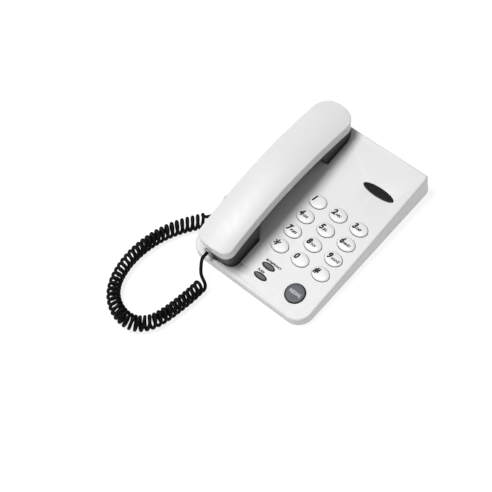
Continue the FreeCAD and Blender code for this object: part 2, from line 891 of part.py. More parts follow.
well_relief = cup_block(well_gap + wall + mat_margin, seat_gap + wall + mat_margin)
board = box(board_x0, board_x1, board_y0, board_y1, board_bottom, mat_bottom)
for x, y in board_screws_at:
    board = board.cut(upright(board_screw_radius + thread_gap, x, y, board_bottom - 1, mat_bottom + 1))
save("main_board", on_slope(board).cut(well_relief))

small_screws = []
for x, y in board_screws_at:
    head = upright(small_head_radius, x, y, board_bottom - small_head_height, board_bottom)
    top = board_bottom + board_screw_length - end_gap
    shank = upright(board_screw_radius - thread_gap, x, y, board_bottom, top)
    small_screws.append(on_slope(join(head, shank)))
save("board_screws", group(small_screws))

parts_under = []
for x, y, length, width, height in (dialler, speech_chip, crystal):
    x0 = board_x0 + x
    y0 = board_y0 + y
    parts_under.append(box(x0, x0 + length, y0, y0 + width, board_bottom - height, board_bottom))
for x, y, (radius, height) in capacitor_places:
    parts_under.append(upright(radius, board_x0 + x, board_y0 + y, board_bottom - height, board_bottom))
for i in range(resistor_count):
    x0 = board_x0 + resistor_x + i * resistor_pitch
    y0 = board_y0 + resistor_y
    x1, y1 = x0 + resistor[0], y0 + resistor[1]
    parts_under.append(box(x0, x1, y0, y1, board_bottom - resistor[2], board_bottom))
save("board_parts", group([on_slope(part) for part in parts_under]))

# Rubber mat with a dome under each key

mat = box(mat_x0, mat_x1, mat_y0, mat_y1, mat_bottom, mat_top)
domes = []
for name, x, y, half_x, half_y, height in caps:
    dome = min(dome_radius, half_y + flange_width)
    domes.append(Part.makeCone(dome, min(dome_top_radius, dome * 0.7), dome_height, Vec(x, y, mat_top)))
mat = mat.fuse(domes)
for x, y in board_screws_at[:4]:
    mat = mat.cut(upright(board_boss_radius + button_gap, x, y, mat_bottom - 1, mat_top + 1))
save("keypad_mat", on_slope(mat.removeSplitter()).cut(well_relief))

# Keys and buttons

for name, x, y, half_x, half_y, height in caps:
    cap = ellipse_rod(half_x, half_y, x, y, flange_bottom, height)
    rim = [e for e in cap.Edges if abs(e.CenterOfMass.z - height) < 0.01]
    cap = cap.makeFillet(key_rounding, rim)
    flange = ellipse_rod(half_x + flange_width, half_y + flange_width, x, y, flange_bottom, flange_top)
    plunger = upright(min(plunger_radius, half_y), x, y, plunger_bottom, flange_bottom)
    save(name, on_slope(join(cap, flange, plunger)))

lens = ellipse_rod(lens_length / 2, lens_width / 2, lens_x, lens_y, -lens_thickness, lens_proud)
lens_rim = [e for e in lens.Edges if abs(e.CenterOfMass.z - lens_proud) < 0.01]
save("indicator_lens", on_slope(lens.makeFillet(lens_proud * 0.75, lens_rim)))
led_top = -(lens_thickness + led_radius + flange_gap)
led = upright(led_radius, lens_x, lens_y, mat_bottom, led_top)
led = join(led, Part.makeSphere(led_radius, Vec(lens_x, lens_y, led_top)))
save("indicator_led", on_slope(led))

# Hook lever, pin, spring and switch

arm = box(handset_x - lever_width / 2, handset_x + lever_width / 2, nub_inner, pin_y, lever_bottom, lever_top)


def pin_rod(radius, reach):
    return rod(radius, Vec(handset_x - reach, pin_y, pin_z), Vec(handset_x + reach, pin_y, pin_z))


knuckle = pin_rod(pin_radius + knuckle_wall, lever_width / 2)
half_nub = nub_width / 2
nub = box(handset_x - half_nub, handset_x + half_nub, nub_inner, nub_outer, lever_bottom, ear_well_floor)
nub_rims = [e for e in nub.Edges if abs(e.CenterOfMass.z - ear_well_floor) < 0.01]
nub = nub.makeFillet(nub_rounding, nub_rims)
save("hook_lever", join(arm, knuckle, nub).cut(pin_rod(pin_radius + pin_gap, lever_width)))
save("hook_pin", pin_rod(pin_radius, bracket_x + bracket_thickness))

spring_y = (nub_inner + nub_outer) / 2
spring_low = cover_top + spring_wire / 2 + thread_gap
spring_high = lever_bottom - spring_wire / 2 - thread_gap


def spring_station(turn):
    angle = 2 * math.pi * turn
    rise = (spring_high - spring_low) / spring_turns
    ring = spring_radius - spring_wire / 2
    round_x, round_y = ring * math.cos(angle), ring * math.sin(angle)
    place = Vec(handset_x + round_x, spring_y + round_y, spring_low + rise * turn)
    way = Vec(-ring * math.sin(angle), ring * math.cos(angle), rise / (2 * math.pi))
    return place, way.normalize()


spring_stations = [spring_station(i / 2) for i in range(2 * spring_turns + 1)]
spring_edges = biarc_wire(spring_stations)
save("hook_spring", tube_along(spring_edges, spring_wire / 2, spring_stations[0][0], spring_stations[0][1]))

switch_top = lever_bottom - switch_button_gap
switch_y0 = line_board_y0 + hook_switch_back
switch_y1 = switch_y0 + hook_switch_depth
body_top = switch_top - hook_button_rise
half = hook_switch_width / 2
switch_body = box(handset_x - half, handset_x + half, switch_y0, switch_y1, line_board_top, body_top)
half = hook_button_width / 2
button_y0 = (switch_y0 + switch_y1 - hook_button_depth) / 2
button_y1 = button_y0 + hook_button_depth
switch_button = box(handset_x - half, handset_x + half, button_y0, button_y1, body_top - 0.2, switch_top)
save("hook_switch", join(switch_body, switch_button))

# Line board with the line jack and the ringer switch

line_board = box(line_board_x0, line_board_x1, line_board_y0, line_board_y1, line_board_z, line_board_top)
for x, y in stands_at:
    line_board = line_board.cut(upright(peg_thin + fit_gap, x, y, line_board_z - 1, line_board_top + 1))
save("line_board", line_board)
save("line_jack", to_back_wall(jack_body(line_jack_width, line_jack_height)))
save("line_jack_contacts", to_back_wall(jack_contacts(line_jack_height)))

switch_wall = wall_y(slot_high + button_gap) - back_wall_thick - flange_gap
plate_back = switch_wall - knob_plate
plate = box(knob_x - knob_length, knob_x + knob_length, plate_back, switch_wall,
            slot_low - plate_lap, slot_high + plate_lap)
grip = box(knob_x - knob_length / 2, knob_x + knob_length / 2, plate_back, wall_y(knob_z) + knob_proud,
           knob_z - knob_height / 2, knob_z + knob_height / 2)
save("ringer_switch_knob", join(plate, grip))
case_y1 = plate_back - flange_gap
half = 1.5 * knob_length
save("ringer_switch_body", box(knob_x - half, knob_x + half, case_y1 - switch_case_depth, case_y1,
                               line_board_top, slot_high))

# Ringer and ballast on the cover

holder_top = cover_top + ringer_holder_height
holder = upright(ringer_radius + holder_wall, ringer_x, ringer_y, cover_top, holder_top)
disc_z = holder_top - ringer_thickness - holder_lip
holder = holder.cut([upright(ringer_radius + fit_gap, ringer_x, ringer_y, disc_z, holder_top + 1),
                     upright(ringer_radius - holder_ledge, ringer_x, ringer_y, cover_top - 1, holder_top)])
save("ringer_holder", holder)
save("ringer_disc", upright(ringer_radius, ringer_x, ringer_y, disc_z, disc_z + ringer_thickness))
ballast_top = cover_top + ballast_thickness
ballast = box(ballast_x0, ballast_x1, ballast_y0, ballast_y1, cover_top, ballast_top)
for x, y in pegs_at:
    ballast = ballast.cut(upright(peg_radius + fit_gap, x, y, cover_top - 1, ballast_top + 1))
save("ballast_plate", ballast)

# Socket for the curly cord, in the left wall, and its leads

save("base_cord_jack", to_left_wall(jack_body(jack_width, jack_height)))
save("base_cord_contacts", to_left_wall(jack_contacts(jack_height)))

# Handset shells

outer = handset_column(0).common(below_crown(0)).cut(below_arch(shell_low))
crease = []
for edge in outer.Edges:
    point = edge.valueAt((edge.FirstParameter + edge.LastParameter) / 2)
    if point.z > arch_height(arch_radius - side_height / 4, point.y):
        crease.append(edge)
outer = outer.makeFillet(edge_rounding, crease)
outer_cavity = handset_column(shell_wall).common(below_crown(shell_wall)).cut(below_arch(shell_low - 1))
outer = outer.cut(outer_cavity)

handset_screws_at = []
for side in (-1, 1):
    handset_screws_at.append((handset_x + side * handset_screw_ear_x, handset_screw_ear_y, ear_floor))
    handset_screws_at.append((handset_x + side * handset_screw_mouth_x, handset_screw_mouth_y, mouth_floor))
posts = []
bores = []
for x, y, floor in handset_screws_at:
    seat = floor + cup_floor
    post_top = crown_z(x, y, shell_wall / 2) - post_gap
    bore_top = seat - handset_screw_seat + handset_screw_length
    posts.append(upright(handset_post, x, y, seat, post_top))
    bores.append(upright(handset_screw_radius, x, y, seat - 1, bore_top))
save("handset_outer_shell", outer.fuse(posts).cut(bores).removeSplitter())

inner = cups.common(below_arch(shell_low - parting_gap))
inner_cavity = handset_column(inner_inset + shell_wall).common(cup_side(-shell_wall, -cup_floor))
inner = inner.cut(inner_cavity)
ear_top = ear_floor + cup_floor
mouth_top = mouth_floor + cup_floor


def seat_ring(radius, y, floor):
    ring = upright(radius + fit_gap + ring_wall, handset_x, y, floor - 0.5, floor + ring_height)
    return ring.cut(upright(radius + fit_gap, handset_x, y, floor - 1, floor + ring_height + 1))


jack_low = handset_jack_low - jack_wall
pedestal_y0 = handset_jack_mouth + pedestal_from
pedestal = box(handset_jack_x - pedestal_width / 2, handset_jack_x + pedestal_width / 2,
               pedestal_y0, pedestal_y0 + pedestal_length, mouth_top - 0.5, jack_low)
rings = [seat_ring(speaker_radius, ear_y, ear_top), seat_ring(boot_radius, mouth_y, mouth_top)]
inner = inner.fuse(rings + [pedestal])

openings = []
dish_radius = (ear_dish_radius ** 2 + ear_dish_depth ** 2) / (2 * ear_dish_depth)
openings.append(Part.makeSphere(dish_radius, Vec(handset_x, ear_y, ear_floor + ear_dish_depth - dish_radius)))
for ring_index, count in ((0, 1), (1, 6), (2, 12)):
    for i in range(count):
        angle = 2 * math.pi * i / count
        reach = ring_index * 4 * sound_hole
        x = handset_x + reach * math.cos(angle)
        y = ear_y + reach * math.sin(angle)
        openings.append(upright(sound_hole, x, y, ear_floor - 1, ear_top + 1))
for i in range(7):
    angle = 2 * math.pi * i / 6
    reach = 0 if i == 6 else 3 * sound_hole
    x = handset_x + reach * math.cos(angle)
    y = mouth_y + reach * math.sin(angle)
    openings.append(upright(sound_hole * 0.8, x, y, mouth_floor - 1, mouth_top + 1))
for x, y, floor in handset_screws_at:
    seat = floor + cup_floor
    openings.append(upright(head_radius + head_gap, x, y, floor - 1, seat - handset_screw_seat))
    openings.append(upright(handset_screw_radius + head_gap, x, y, floor - 1, seat + 1))
openings.append(to_handset(box(-half_jack, half_jack, -8 * wall, 0.5, 0, jack_height)))
inner = inner.cut(openings)
save("handset_inner_shell", inner.removeSplitter())

handset_screws = []
for x, y, floor in handset_screws_at:
    seat = floor + cup_floor - handset_screw_seat
    head = upright(head_radius, x, y, seat - handset_head_height, seat)
    shank = upright(handset_screw_radius - thread_gap, x, y, seat, seat + handset_screw_length - end_gap)
    handset_screws.append(join(head, shank))
save("handset_screws", group(handset_screws))

# What the handset holds

save("earpiece_cloth", upright(speaker_radius - 1.0, handset_x, ear_y, ear_top, ear_top + cloth_thickness))
speaker_z = ear_top + cloth_thickness
speaker_rim = speaker_z + speaker_height * 0.4
speaker = upright(speaker_radius, handset_x, ear_y, speaker_z, speaker_rim)
magnet = upright(speaker_radius * 0.6, handset_x, ear_y, speaker_z, speaker_z + speaker_height)
save("earpiece_speaker", join(speaker, magnet))
boot = upright(boot_radius, handset_x, mouth_y, mouth_top, mouth_top + boot_height)
mic_low = mouth_top + boot_wall
mic_top = mic_low + mic_height
boot = boot.cut(upright(mic_radius, handset_x, mouth_y, mic_low, mouth_top + boot_height + 1))
boot = boot.cut(upright(mic_radius * 0.6, handset_x, mouth_y, mouth_top - 1, mouth_top + 1))
save("microphone_boot", boot)
save("microphone", upright(mic_radius, handset_x, mouth_y, mic_low, mic_top))
weight_low = handle_low + shell_wall + parting_gap
weight = below_arch(weight_low + weight_thickness).cut(below_arch(weight_low))
weight = weight.common(box(handset_x - weight_width / 2, handset_x + weight_width / 2,
                           arch_y - weight_length / 2, arch_y + weight_length / 2, 0, tall))
save("handset_weight", weight)
save("handset_jack", to_handset(jack_body(jack_width, jack_height)))
save("handset_jack_contacts", to_handset(jack_contacts(jack_height)))

# Plugs on the ends of the curly cord

plug_face = near_y(handset_jack_low + jack_height) + inner_inset - plug_proud
save("handset_plug", to_handset(plug_body(handset_jack_mouth - plug_face)))
base_plug_face = -base_width / 2 - plug_proud
save("base_plug", to_left_wall(plug_body(base_jack_mouth - base_plug_face)))

# Curly cord: a straight tail out of each plug and one helix around the route between them

plug_middle = (latch_height + jack_height - plug_gap - 4 * contact_radius) / 2
cord_start = Vec(handset_jack_x, plug_face, handset_jack_low + plug_middle)
cord_end = Vec(base_plug_face, base_jack_y, base_jack_z + plug_middle)
toward_user = Vec(0, -1, 0)
into_base = Vec(1, 0, 0)

axis = Part.BSplineCurve()
axis.interpolate([Vec(x, y, coil_axis_z) for x, y in coil_route])
axis_length = axis.length()
whole_turns = round(axis_length / coil_pitch)
turns = whole_turns - coil_hand * first_phase / 360
steps = round(2 * turns)


def coil_station(step):
    share = step / steps
    at = axis.parameterAtDistance(axis_length * share, axis.FirstParameter)
    along = axis.tangent(at)[0]
    side = Vec(0, 0, 1).cross(along)
    angle = math.radians(first_phase + coil_hand * 360 * turns * share)
    upward = Vec(0, coil_lean, coil_radius)
    place = axis.value(at) + side * (math.cos(angle) * coil_radius) + upward * math.sin(angle)
    swirl = upward * math.cos(angle) - side * (math.sin(angle) * coil_radius)
    way = swirl * (coil_hand * 2 * math.pi * turns) + along * axis_length
    return place, way.normalize()


stations = [(cord_start, toward_user),
            (cord_start + toward_user * (2 * cord_radius), toward_user)]
stations += [(Vec(*place), Vec(*way).normalize()) for place, way in handset_tail]
stations += [coil_station(step) for step in range(steps + 1)]
stations += [(Vec(*place), Vec(*way).normalize()) for place, way in base_tail]
stations += [(cord_end - into_base * (2 * cord_radius), into_base), (cord_end, into_base)]


def least_gap(wire):
    # Least distance between stretches of the cord more than half a turn apart, less its thickness
    points = wire.discretize(Distance=sample_step)
    skip = int(math.pi * coil_radius / sample_step)
    cells = {}
    for i, p in enumerate(points):
        cells.setdefault((int(p.x // 5), int(p.y // 5), int(p.z // 5)), []).append((i, p))
    least = far_x
    near = [(a, b, c) for a in (-1, 0, 1) for b in (-1, 0, 1) for c in (-1, 0, 1)]
    for (a, b, c), members in cells.items():
        for da, db, dc in near:
            for j, other in cells.get((a + da, b + db, c + dc), []):
                for i, p in members:
                    if i + skip < j:
                        least = min(least, p.distanceToPoint(other))
    return least - 2 * cord_radius


cord_edges = biarc_wire(stations)
tightest = min([edge.Curve.Radius for edge in cord_edges if hasattr(edge.Curve, "Radius")])
cord_gap = least_gap(Part.Wire(cord_edges))
print("coil turns %.2f, route %.1f" % (turns, axis_length))
print("tightest bend %.2f, least gap %.2f" % (tightest, cord_gap))
if cord_gap < least_cord_gap:
    print("the cord's turns are too close")
save("curly_cord", tube_along(cord_edges, cord_radius, cord_start, toward_user))

# Leads inside the handset: two to the microphone and two to the speaker

pin_y_end = handset_jack_mouth + jack_depth + contact_tail
pin_z_end = handset_jack_low + jack_height - 2 * contact_radius
over_weight = weight_low + weight_thickness + lead_clearance
handset_wires = []
for i in range(4):
    x = handset_jack_x + (i - 1.5) * contact_pitch
    run = [Vec(x, pin_y_end, pin_z_end)]
    if i < 2:
        run.append(Vec(x, lead_turn_y, pin_z_end))
        for y in speaker_lead_ys:
            run.append(Vec(x, y, arch_height(over_weight, y)))
        run.append(Vec(x, speaker_lead_end, arch_height(over_weight, speaker_lead_end) - 4.0))
        run.append(Vec(x, speaker_lead_end, speaker_rim))
    else:
        target = handset_x + (i - 2.5) * 2.4
        run.append(Vec(x, pin_y_end + 3.0, pin_z_end))
        run.append(Vec(target, mouth_y, pin_z_end))
        run.append(Vec(target, mouth_y, mic_top))
    handset_wires.append(lead(run, lead_radius, lead_bend))
save("handset_leads", group(handset_wires))

# Leads inside the base: cord socket, line board and ringer to the main board


def under_board(y):
    return top_z(y) + board_bottom / math.cos(math.radians(top_slope)) - 0.05


base_wires = []
socket_pin = base_jack_mouth + jack_depth + contact_tail
socket_z = base_jack_z + jack_height - 2 * contact_radius
low_z = cover_top + 2.5
for i in range(4):
    y = base_jack_y + (i - 1.5) * contact_pitch
    base_wires.append(lead([Vec(socket_pin, y, socket_z), Vec(socket_pin + 4, y, socket_z),
                            Vec(socket_pin + 9, y, low_z), Vec(board_x0 + 4, y, low_z),
                            Vec(board_x0 + 4, y, under_board(y) - 0.05)], lead_radius, lead_bend))
for i in range(2):
    x = line_board_x1 - 9.0 + 2 * i
    y = line_board_y0 + 5.0
    up_x = board_x0 + 2.5 + 2 * i
    up_y = line_board_y0 - 9.0
    over = line_board_top + 4.0
    base_wires.append(lead([Vec(x, y, line_board_top), Vec(x, y, over), Vec(up_x, up_y, over),
                            Vec(up_x, up_y, under_board(up_y))], lead_radius, lead_bend))
disc_top = disc_z + ringer_thickness
for x in (ringer_x - 3, ringer_x + 3):
    run = [Vec(x, ringer_y, disc_top), Vec(x, ringer_y, under_board(ringer_y))]
    base_wires.append(lead(run, lead_radius, lead_bend))
save("base_leads", group(base_wires))
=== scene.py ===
import bpy
import math
from mathutils import Matrix, Vector


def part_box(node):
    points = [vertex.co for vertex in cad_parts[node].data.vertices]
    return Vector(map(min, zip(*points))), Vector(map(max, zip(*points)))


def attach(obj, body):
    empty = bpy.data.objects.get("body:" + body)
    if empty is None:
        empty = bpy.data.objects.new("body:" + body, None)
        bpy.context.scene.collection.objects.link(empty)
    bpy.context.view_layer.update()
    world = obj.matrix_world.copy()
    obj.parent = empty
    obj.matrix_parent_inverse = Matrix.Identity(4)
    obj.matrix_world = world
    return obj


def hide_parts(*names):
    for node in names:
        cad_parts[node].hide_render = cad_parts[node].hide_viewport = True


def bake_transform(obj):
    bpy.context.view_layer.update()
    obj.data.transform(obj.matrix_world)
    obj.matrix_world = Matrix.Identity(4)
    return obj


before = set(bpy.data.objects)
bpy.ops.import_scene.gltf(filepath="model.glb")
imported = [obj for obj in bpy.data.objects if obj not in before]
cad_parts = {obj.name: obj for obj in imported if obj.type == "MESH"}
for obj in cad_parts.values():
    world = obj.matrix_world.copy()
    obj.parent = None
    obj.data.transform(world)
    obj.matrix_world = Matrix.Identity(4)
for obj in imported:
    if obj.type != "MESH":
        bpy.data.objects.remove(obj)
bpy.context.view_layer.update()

bpy.ops.object.select_all(action="DESELECT")
print("frame loaded")

mm = 0.001

# where the phone's top face lies: it climbs from the front edge
topFace = {"slope": math.radians(4.86), "frontY": -0.0945, "frontZ": 0.0103}
ontoTopFace = (Matrix.Translation((0, topFace["frontY"], topFace["frontZ"]))
               @ Matrix.Rotation(topFace["slope"], 4, "X"))


# small helpers for modelling by operator

def onlyThis(obj):
    bpy.ops.object.select_all(action="DESELECT")
    obj.select_set(True)
    bpy.context.view_layer.objects.active = obj


def settle(obj):
    onlyThis(obj)
    bpy.ops.object.transform_apply(location=True, rotation=True, scale=True)
    return obj


def edit(obj):
    onlyThis(obj)
    bpy.ops.object.mode_set(mode="EDIT")


def leave():
    bpy.ops.object.mode_set(mode="OBJECT")


def pickFaces(obj, wanted):
    # in edit mode: drops the selection, then selects the faces the test wants
    bpy.ops.mesh.select_mode(type="FACE")
    bpy.ops.mesh.select_all(action="DESELECT")
    leave()
    for face in obj.data.polygons:
        face.select = bool(wanted(face.center, face.normal))
    bpy.ops.object.mode_set(mode="EDIT")


def pickEdges(obj, wanted):
    bpy.ops.mesh.select_mode(type="EDGE")
    bpy.ops.mesh.select_all(action="DESELECT")
    leave()
    points = obj.data.vertices
    for edge in obj.data.edges:
        edge.select = bool(wanted(points[edge.vertices[0]].co, points[edge.vertices[1]].co))
    bpy.ops.object.mode_set(mode="EDIT")


squarely = 0.9  # a face looks one way when its normal has more than this along it


def facesUp(centre, normal):
    return normal.z > squarely


def facesDown(centre, normal):
    return normal.z < -squarely


def facesBack(centre, normal):
    return normal.y < -squarely


def extrudePicked(*move):
    bpy.ops.mesh.extrude_region_move(TRANSFORM_OT_translate={"value": move})


def resizePicked(wide, deep, centre):
    bpy.ops.transform.resize(value=(wide, deep, 1.0), center_override=centre)


# edges sharper than this many degrees stay sharp in the shading
mouldingCrease = 28.0
capCrease = 35.0


def smooth(obj, crease):
    onlyThis(obj)
    bpy.ops.object.shade_smooth_by_angle(angle=math.radians(crease))
    return obj


def addModifier(obj, kind, **values):
    onlyThis(obj)
    bpy.ops.object.modifier_add(type=kind)
    modifier = obj.modifiers[-1]
    for name, value in values.items():
        setattr(modifier, name, value)
    bpy.ops.object.modifier_apply(modifier=modifier.name)


def ontoSlope(obj, x, along):
    # a piece made flat at the origin goes to its place on the top face, both in millimetres
    obj.matrix_world = ontoTopFace @ Matrix.Translation((x * mm, along * mm, 0))
    return settle(obj)


def copyOf(obj, name):
    onlyThis(obj)
    bpy.ops.object.duplicate(linked=False)
    copy = bpy.context.view_layer.objects.active
    copy.name = name
    copy.data.name = name
    return copy


def lengthsAlong(points):
    run = [0.0]
    for a, b in zip(points, points[1:]):
        run.append(run[-1] + (b - a).length)
    return run


# camera, where the photographer stood
cameraPlace = {
    "at": (0.486445, -0.418324, 1.076626), "turn": (29.400914, 7.680224, 41.805101),
    "lens": 97.6594, "sensor": 36.0, "near": 0.05, "far": 20.0,
}
bpy.ops.object.camera_add(location=cameraPlace["at"],
                          rotation=[math.radians(a) for a in cameraPlace["turn"]])
camera = bpy.context.object
camera.name = "photoCamera"
camera.data.lens = cameraPlace["lens"]
camera.data.sensor_width = cameraPlace["sensor"]
camera.data.clip_start = cameraPlace["near"]
camera.data.clip_end = cameraPlace["far"]
camera.data.dof.use_dof = False
bpy.context.scene.camera = camera
print("camera placed")

# curly cord, in millimetres: the route of the coil's axis over the desk, then the helix round it
curlyCord = {
    "route": [(-32.3, -116.2), (-32.4, -127.0), (-34.6, -143.0), (-37.5, -160.0), (-43.0, -175.5),
              (-56.0, -185.8), (-73.5, -185.5), (-89.0, -177.5), (-98.5, -165.0), (-103.3, -150.0),
              (-105.0, -134.0), (-103.3, -116.0), (-98.5, -99.5), (-91.0, -84.5), (-83.0, -73.5),
              (-76.9, -65.3)],
    "axisHeight": 6.9, "routeSteps": 24,
    "coilRadius": 5.2, "lean": 2.6, "thickness": 3.2,
    "turns": 46.222, "windWay": -1.0, "startTurn": 80.0,
    "pointsPerTurn": 14, "lineSteps": 2, "sides": 16, "samePlace": 0.01,
    "handsetTail": [(-43.9, -100.5, 20.0), (-40.9, -105.2, 17.6), (-36.8, -111.0, 14.8)],
    "baseTail": [(-79.6, -59.4, 2.6), (-76.2, -53.4, 1.7), (-75.0, -47.0, 1.75),
                 (-76.0, -41.0, 2.6), (-77.6, -35.4, 4.6), (-77.0, -31.4, 6.8)],
    "lieWay": (1.0, -0.4, 0.0), "baseMargin": 0.6, "handsetMargin": 0.2,
}

# a plug lies the gap over its socket's floor, and the cord leaves it at the middle's height
plugFit = {"gap": 0.15, "middle": 3.125}


def nurbsObject(name, points):
    # one open spline; the order comes after the points, or it stays at straight runs
    data = bpy.data.curves.new(name, "CURVE")
    data.dimensions = "3D"
    spline = data.splines.new("NURBS")
    spline.points.add(len(points) - 1)
    for point, place in zip(spline.points, points):
        point.co = (place[0], place[1], place[2], 1.0)
    spline.order_u = 3
    spline.use_endpoint_u = True
    obj = bpy.data.objects.new(name, data)
    bpy.context.scene.collection.objects.link(obj)
    return obj


def pointsOf(obj):
    # the points of a curve, without those that lie on the one before
    bpy.context.view_layer.update()
    line = bpy.data.meshes.new_from_object(obj.evaluated_get(bpy.context.evaluated_depsgraph_get()))
    points = [line.vertices[0].co.copy()]
    for vertex in line.vertices:
        if (vertex.co - points[-1]).length > curlyCord["samePlace"] * mm:
            points.append(vertex.co.copy())
    bpy.data.meshes.remove(line)
    return points


def pointAt(points, run, distance):
    # the point that far along a line, and the line's way there
    index = 0
    while index < len(run) - 2 and run[index + 1] < distance:
        index += 1
    share = (distance - run[index]) / (run[index + 1] - run[index])
    here = points[index].lerp(points[index + 1], share)
    before = points[max(index - 1, 0)]
    after = points[min(index + 2, len(points) - 1)]
    return here, (after - before).normalized()


routePoints = [(x * mm, y * mm, curlyCord["axisHeight"] * mm) for x, y in curlyCord["route"]]
routeCurve = nurbsObject("cordRoute", routePoints)
routeCurve.data.splines[0].resolution_u = curlyCord["routeSteps"]
axisPoints = pointsOf(routeCurve)
axisRun = lengthsAlong(axisPoints)
bpy.data.objects.remove(routeCurve)
helixCount = round(curlyCord["turns"] * curlyCord["pointsPerTurn"])
helixRadius = curlyCord["coilRadius"] * mm / math.cos(math.pi / curlyCord["pointsPerTurn"])
turnUp = Vector((0, curlyCord["lean"] / curlyCord["coilRadius"], 1))  # each turn leans back
helix = []
for step in range(helixCount + 1):
    share = step / helixCount
    here, along = pointAt(axisPoints, axisRun, axisRun[-1] * share)
    side = Vector((0, 0, 1)).cross(along)
    angle = math.radians(curlyCord["startTurn"] + 360 * curlyCord["turns"] * share * curlyCord["windWay"])
    helix.append(here + (side * math.cos(angle) + turnUp * math.sin(angle)) * helixRadius)

handPlugLow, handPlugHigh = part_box("handset_plug")
basePlugLow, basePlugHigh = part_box("base_plug")
plugGap = plugFit["gap"] * mm
plugMiddle = plugFit["middle"] * mm
handExit = Vector(((handPlugLow.x + handPlugHigh.x) / 2, handPlugLow.y,
                   handPlugLow.z - plugGap + plugMiddle))
baseExit = Vector((basePlugLow.x, (basePlugLow.y + basePlugHigh.y) / 2,
                   basePlugLow.z - plugGap + plugMiddle))
straight = curlyCord["thickness"] * mm  # the cord runs on this far from a plug before it bends
handStraight = handExit + Vector((0, -straight, 0))
baseStraight = baseExit + Vector((-straight, 0, 0))
handTail = [handExit, handStraight] + [Vector(p) * mm for p in curlyCord["handsetTail"]]
baseTail = [Vector(p) * mm for p in curlyCord["baseTail"]] + [baseStraight, baseExit]
cordCurve = nurbsObject("cordLine", handTail + helix + baseTail)
cordCurve.data.splines[0].resolution_u = curlyCord["lineSteps"]
cordPath = pointsOf(cordCurve)
cordCurve.data.bevel_depth = curlyCord["thickness"] * mm / 2
cordCurve.data.bevel_resolution = (curlyCord["sides"] - 4) // 2
cordCurve.data.use_fill_caps = True
onlyThis(cordCurve)
bpy.ops.object.convert(target="MESH")
cordPiece = bpy.context.object
cordPiece.name = "curlyCordTube"
bpy.ops.object.shade_smooth()

print("curly cord wound", len(cordPath), "points", round(lengthsAlong(cordPath)[-1], 4))


# finishes: each one is a principled shader with a varied tone and a bumped surface

# each pattern's scale, about the number of its cells in a metre
patternScale = {"drift": 22.0, "polish": 160.0, "scratch": 240.0, "flow": 300.0, "track": 60.0,
                "glassCloth": 1400.0, "ink": 2600.0, "floor": 3.0}
usualNoise = {"low": 0.3, "high": 0.7}  # nearly all of a noise's values lie between these


def wire(material, fromSocket, toSocket):
    material.node_tree.links.new(fromSocket, toSocket)


def newFinish(name):
    material = bpy.data.materials.new(name)
    material.use_nodes = True
    nodes = material.node_tree.nodes
    nodes.clear()
    shader = nodes.new("ShaderNodeBsdfPrincipled")
    output = nodes.new("ShaderNodeOutputMaterial")
    wire(material, shader.outputs["BSDF"], output.inputs["Surface"])
    return material, shader


def objectPlace(material, scale=(1.0, 1.0, 1.0), turn=0.0):
    nodes = material.node_tree.nodes
    coordinate = nodes.new("ShaderNodeTexCoord")
    mapping = nodes.new("ShaderNodeMapping")
    mapping.inputs["Scale"].default_value = scale
    mapping.inputs["Rotation"].default_value = (0.0, 0.0, turn)
    wire(material, coordinate.outputs["Object"], mapping.inputs["Vector"])
    return mapping.outputs["Vector"]


def noiseAt(material, place, scale, detail=2.0, roughness=0.5):
    noise = material.node_tree.nodes.new("ShaderNodeTexNoise")
    noise.inputs["Scale"].default_value = scale
    noise.inputs["Detail"].default_value = detail
    noise.inputs["Roughness"].default_value = roughness
    wire(material, place, noise.inputs["Vector"])
    return noise.outputs["Fac"]


def toned(colour, factor):
    return [min(c * factor, 1.0) for c in colour]


def toneBetween(material, shader, factor, dark, light, low=0.35, high=0.65):
    ramp = material.node_tree.nodes.new("ShaderNodeValToRGB")
    ramp.color_ramp.elements[0].position = low
    ramp.color_ramp.elements[0].color = (*dark, 1.0)
    ramp.color_ramp.elements[1].position = high
    ramp.color_ramp.elements[1].color = (*light, 1.0)
    wire(material, factor, ramp.inputs["Fac"])
    wire(material, ramp.outputs["Color"], shader.inputs["Base Color"])


def roughBetween(material, shader, factor, low, high):
    ranged = material.node_tree.nodes.new("ShaderNodeMapRange")
    ranged.inputs["From Min"].default_value = usualNoise["low"]
    ranged.inputs["From Max"].default_value = usualNoise["high"]
    ranged.inputs["To Min"].default_value = low
    ranged.inputs["To Max"].default_value = high
    wire(material, factor, ranged.inputs["Value"])
    wire(material, ranged.outputs["Result"], shader.inputs["Roughness"])


def bumped(material, shader, height, depth):
    bump = material.node_tree.nodes.new("ShaderNodeBump")
    bump.inputs["Strength"].default_value = 1.0
    bump.inputs["Distance"].default_value = depth
    wire(material, height, bump.inputs["Height"])
    wire(material, bump.outputs["Normal"], shader.inputs["Normal"])


def mouldedPlastic(name, colour, rough, grainSize, grainDepth, drift, specular):
    # moulded plastic with a spark-eroded grain and a slow drift of tone and polish
    material, shader = newFinish(name)
    place = objectPlace(material)
    slow = noiseAt(material, place, patternScale["drift"])
    toneBetween(material, shader, slow, toned(colour, 1.0 - drift), toned(colour, 1.0 + drift))
    polish = noiseAt(material, place, patternScale["polish"], detail=4.0)
    roughBetween(material, shader, polish, rough * 0.9, rough * 1.12)
    grain = noiseAt(material, place, 1.0 / grainSize, roughness=0.6)
    bumped(material, shader, grain, grainDepth)
    shader.inputs["Specular IOR Level"].default_value = specular
    return material


def metalFinish(name, colour, rough, stretch, depth):
    # drawn or rolled metal: fine scratches that run one way
    material, shader = newFinish(name)
    place = objectPlace(material, scale=stretch)
    lines = noiseAt(material, place, patternScale["scratch"], detail=5.0, roughness=0.65)
    toneBetween(material, shader, lines, toned(colour, 0.82), toned(colour, 1.12))
    roughBetween(material, shader, lines, rough * 0.75, rough * 1.3)
    bumped(material, shader, lines, depth)
    shader.inputs["Metallic"].default_value = 1.0
    return material


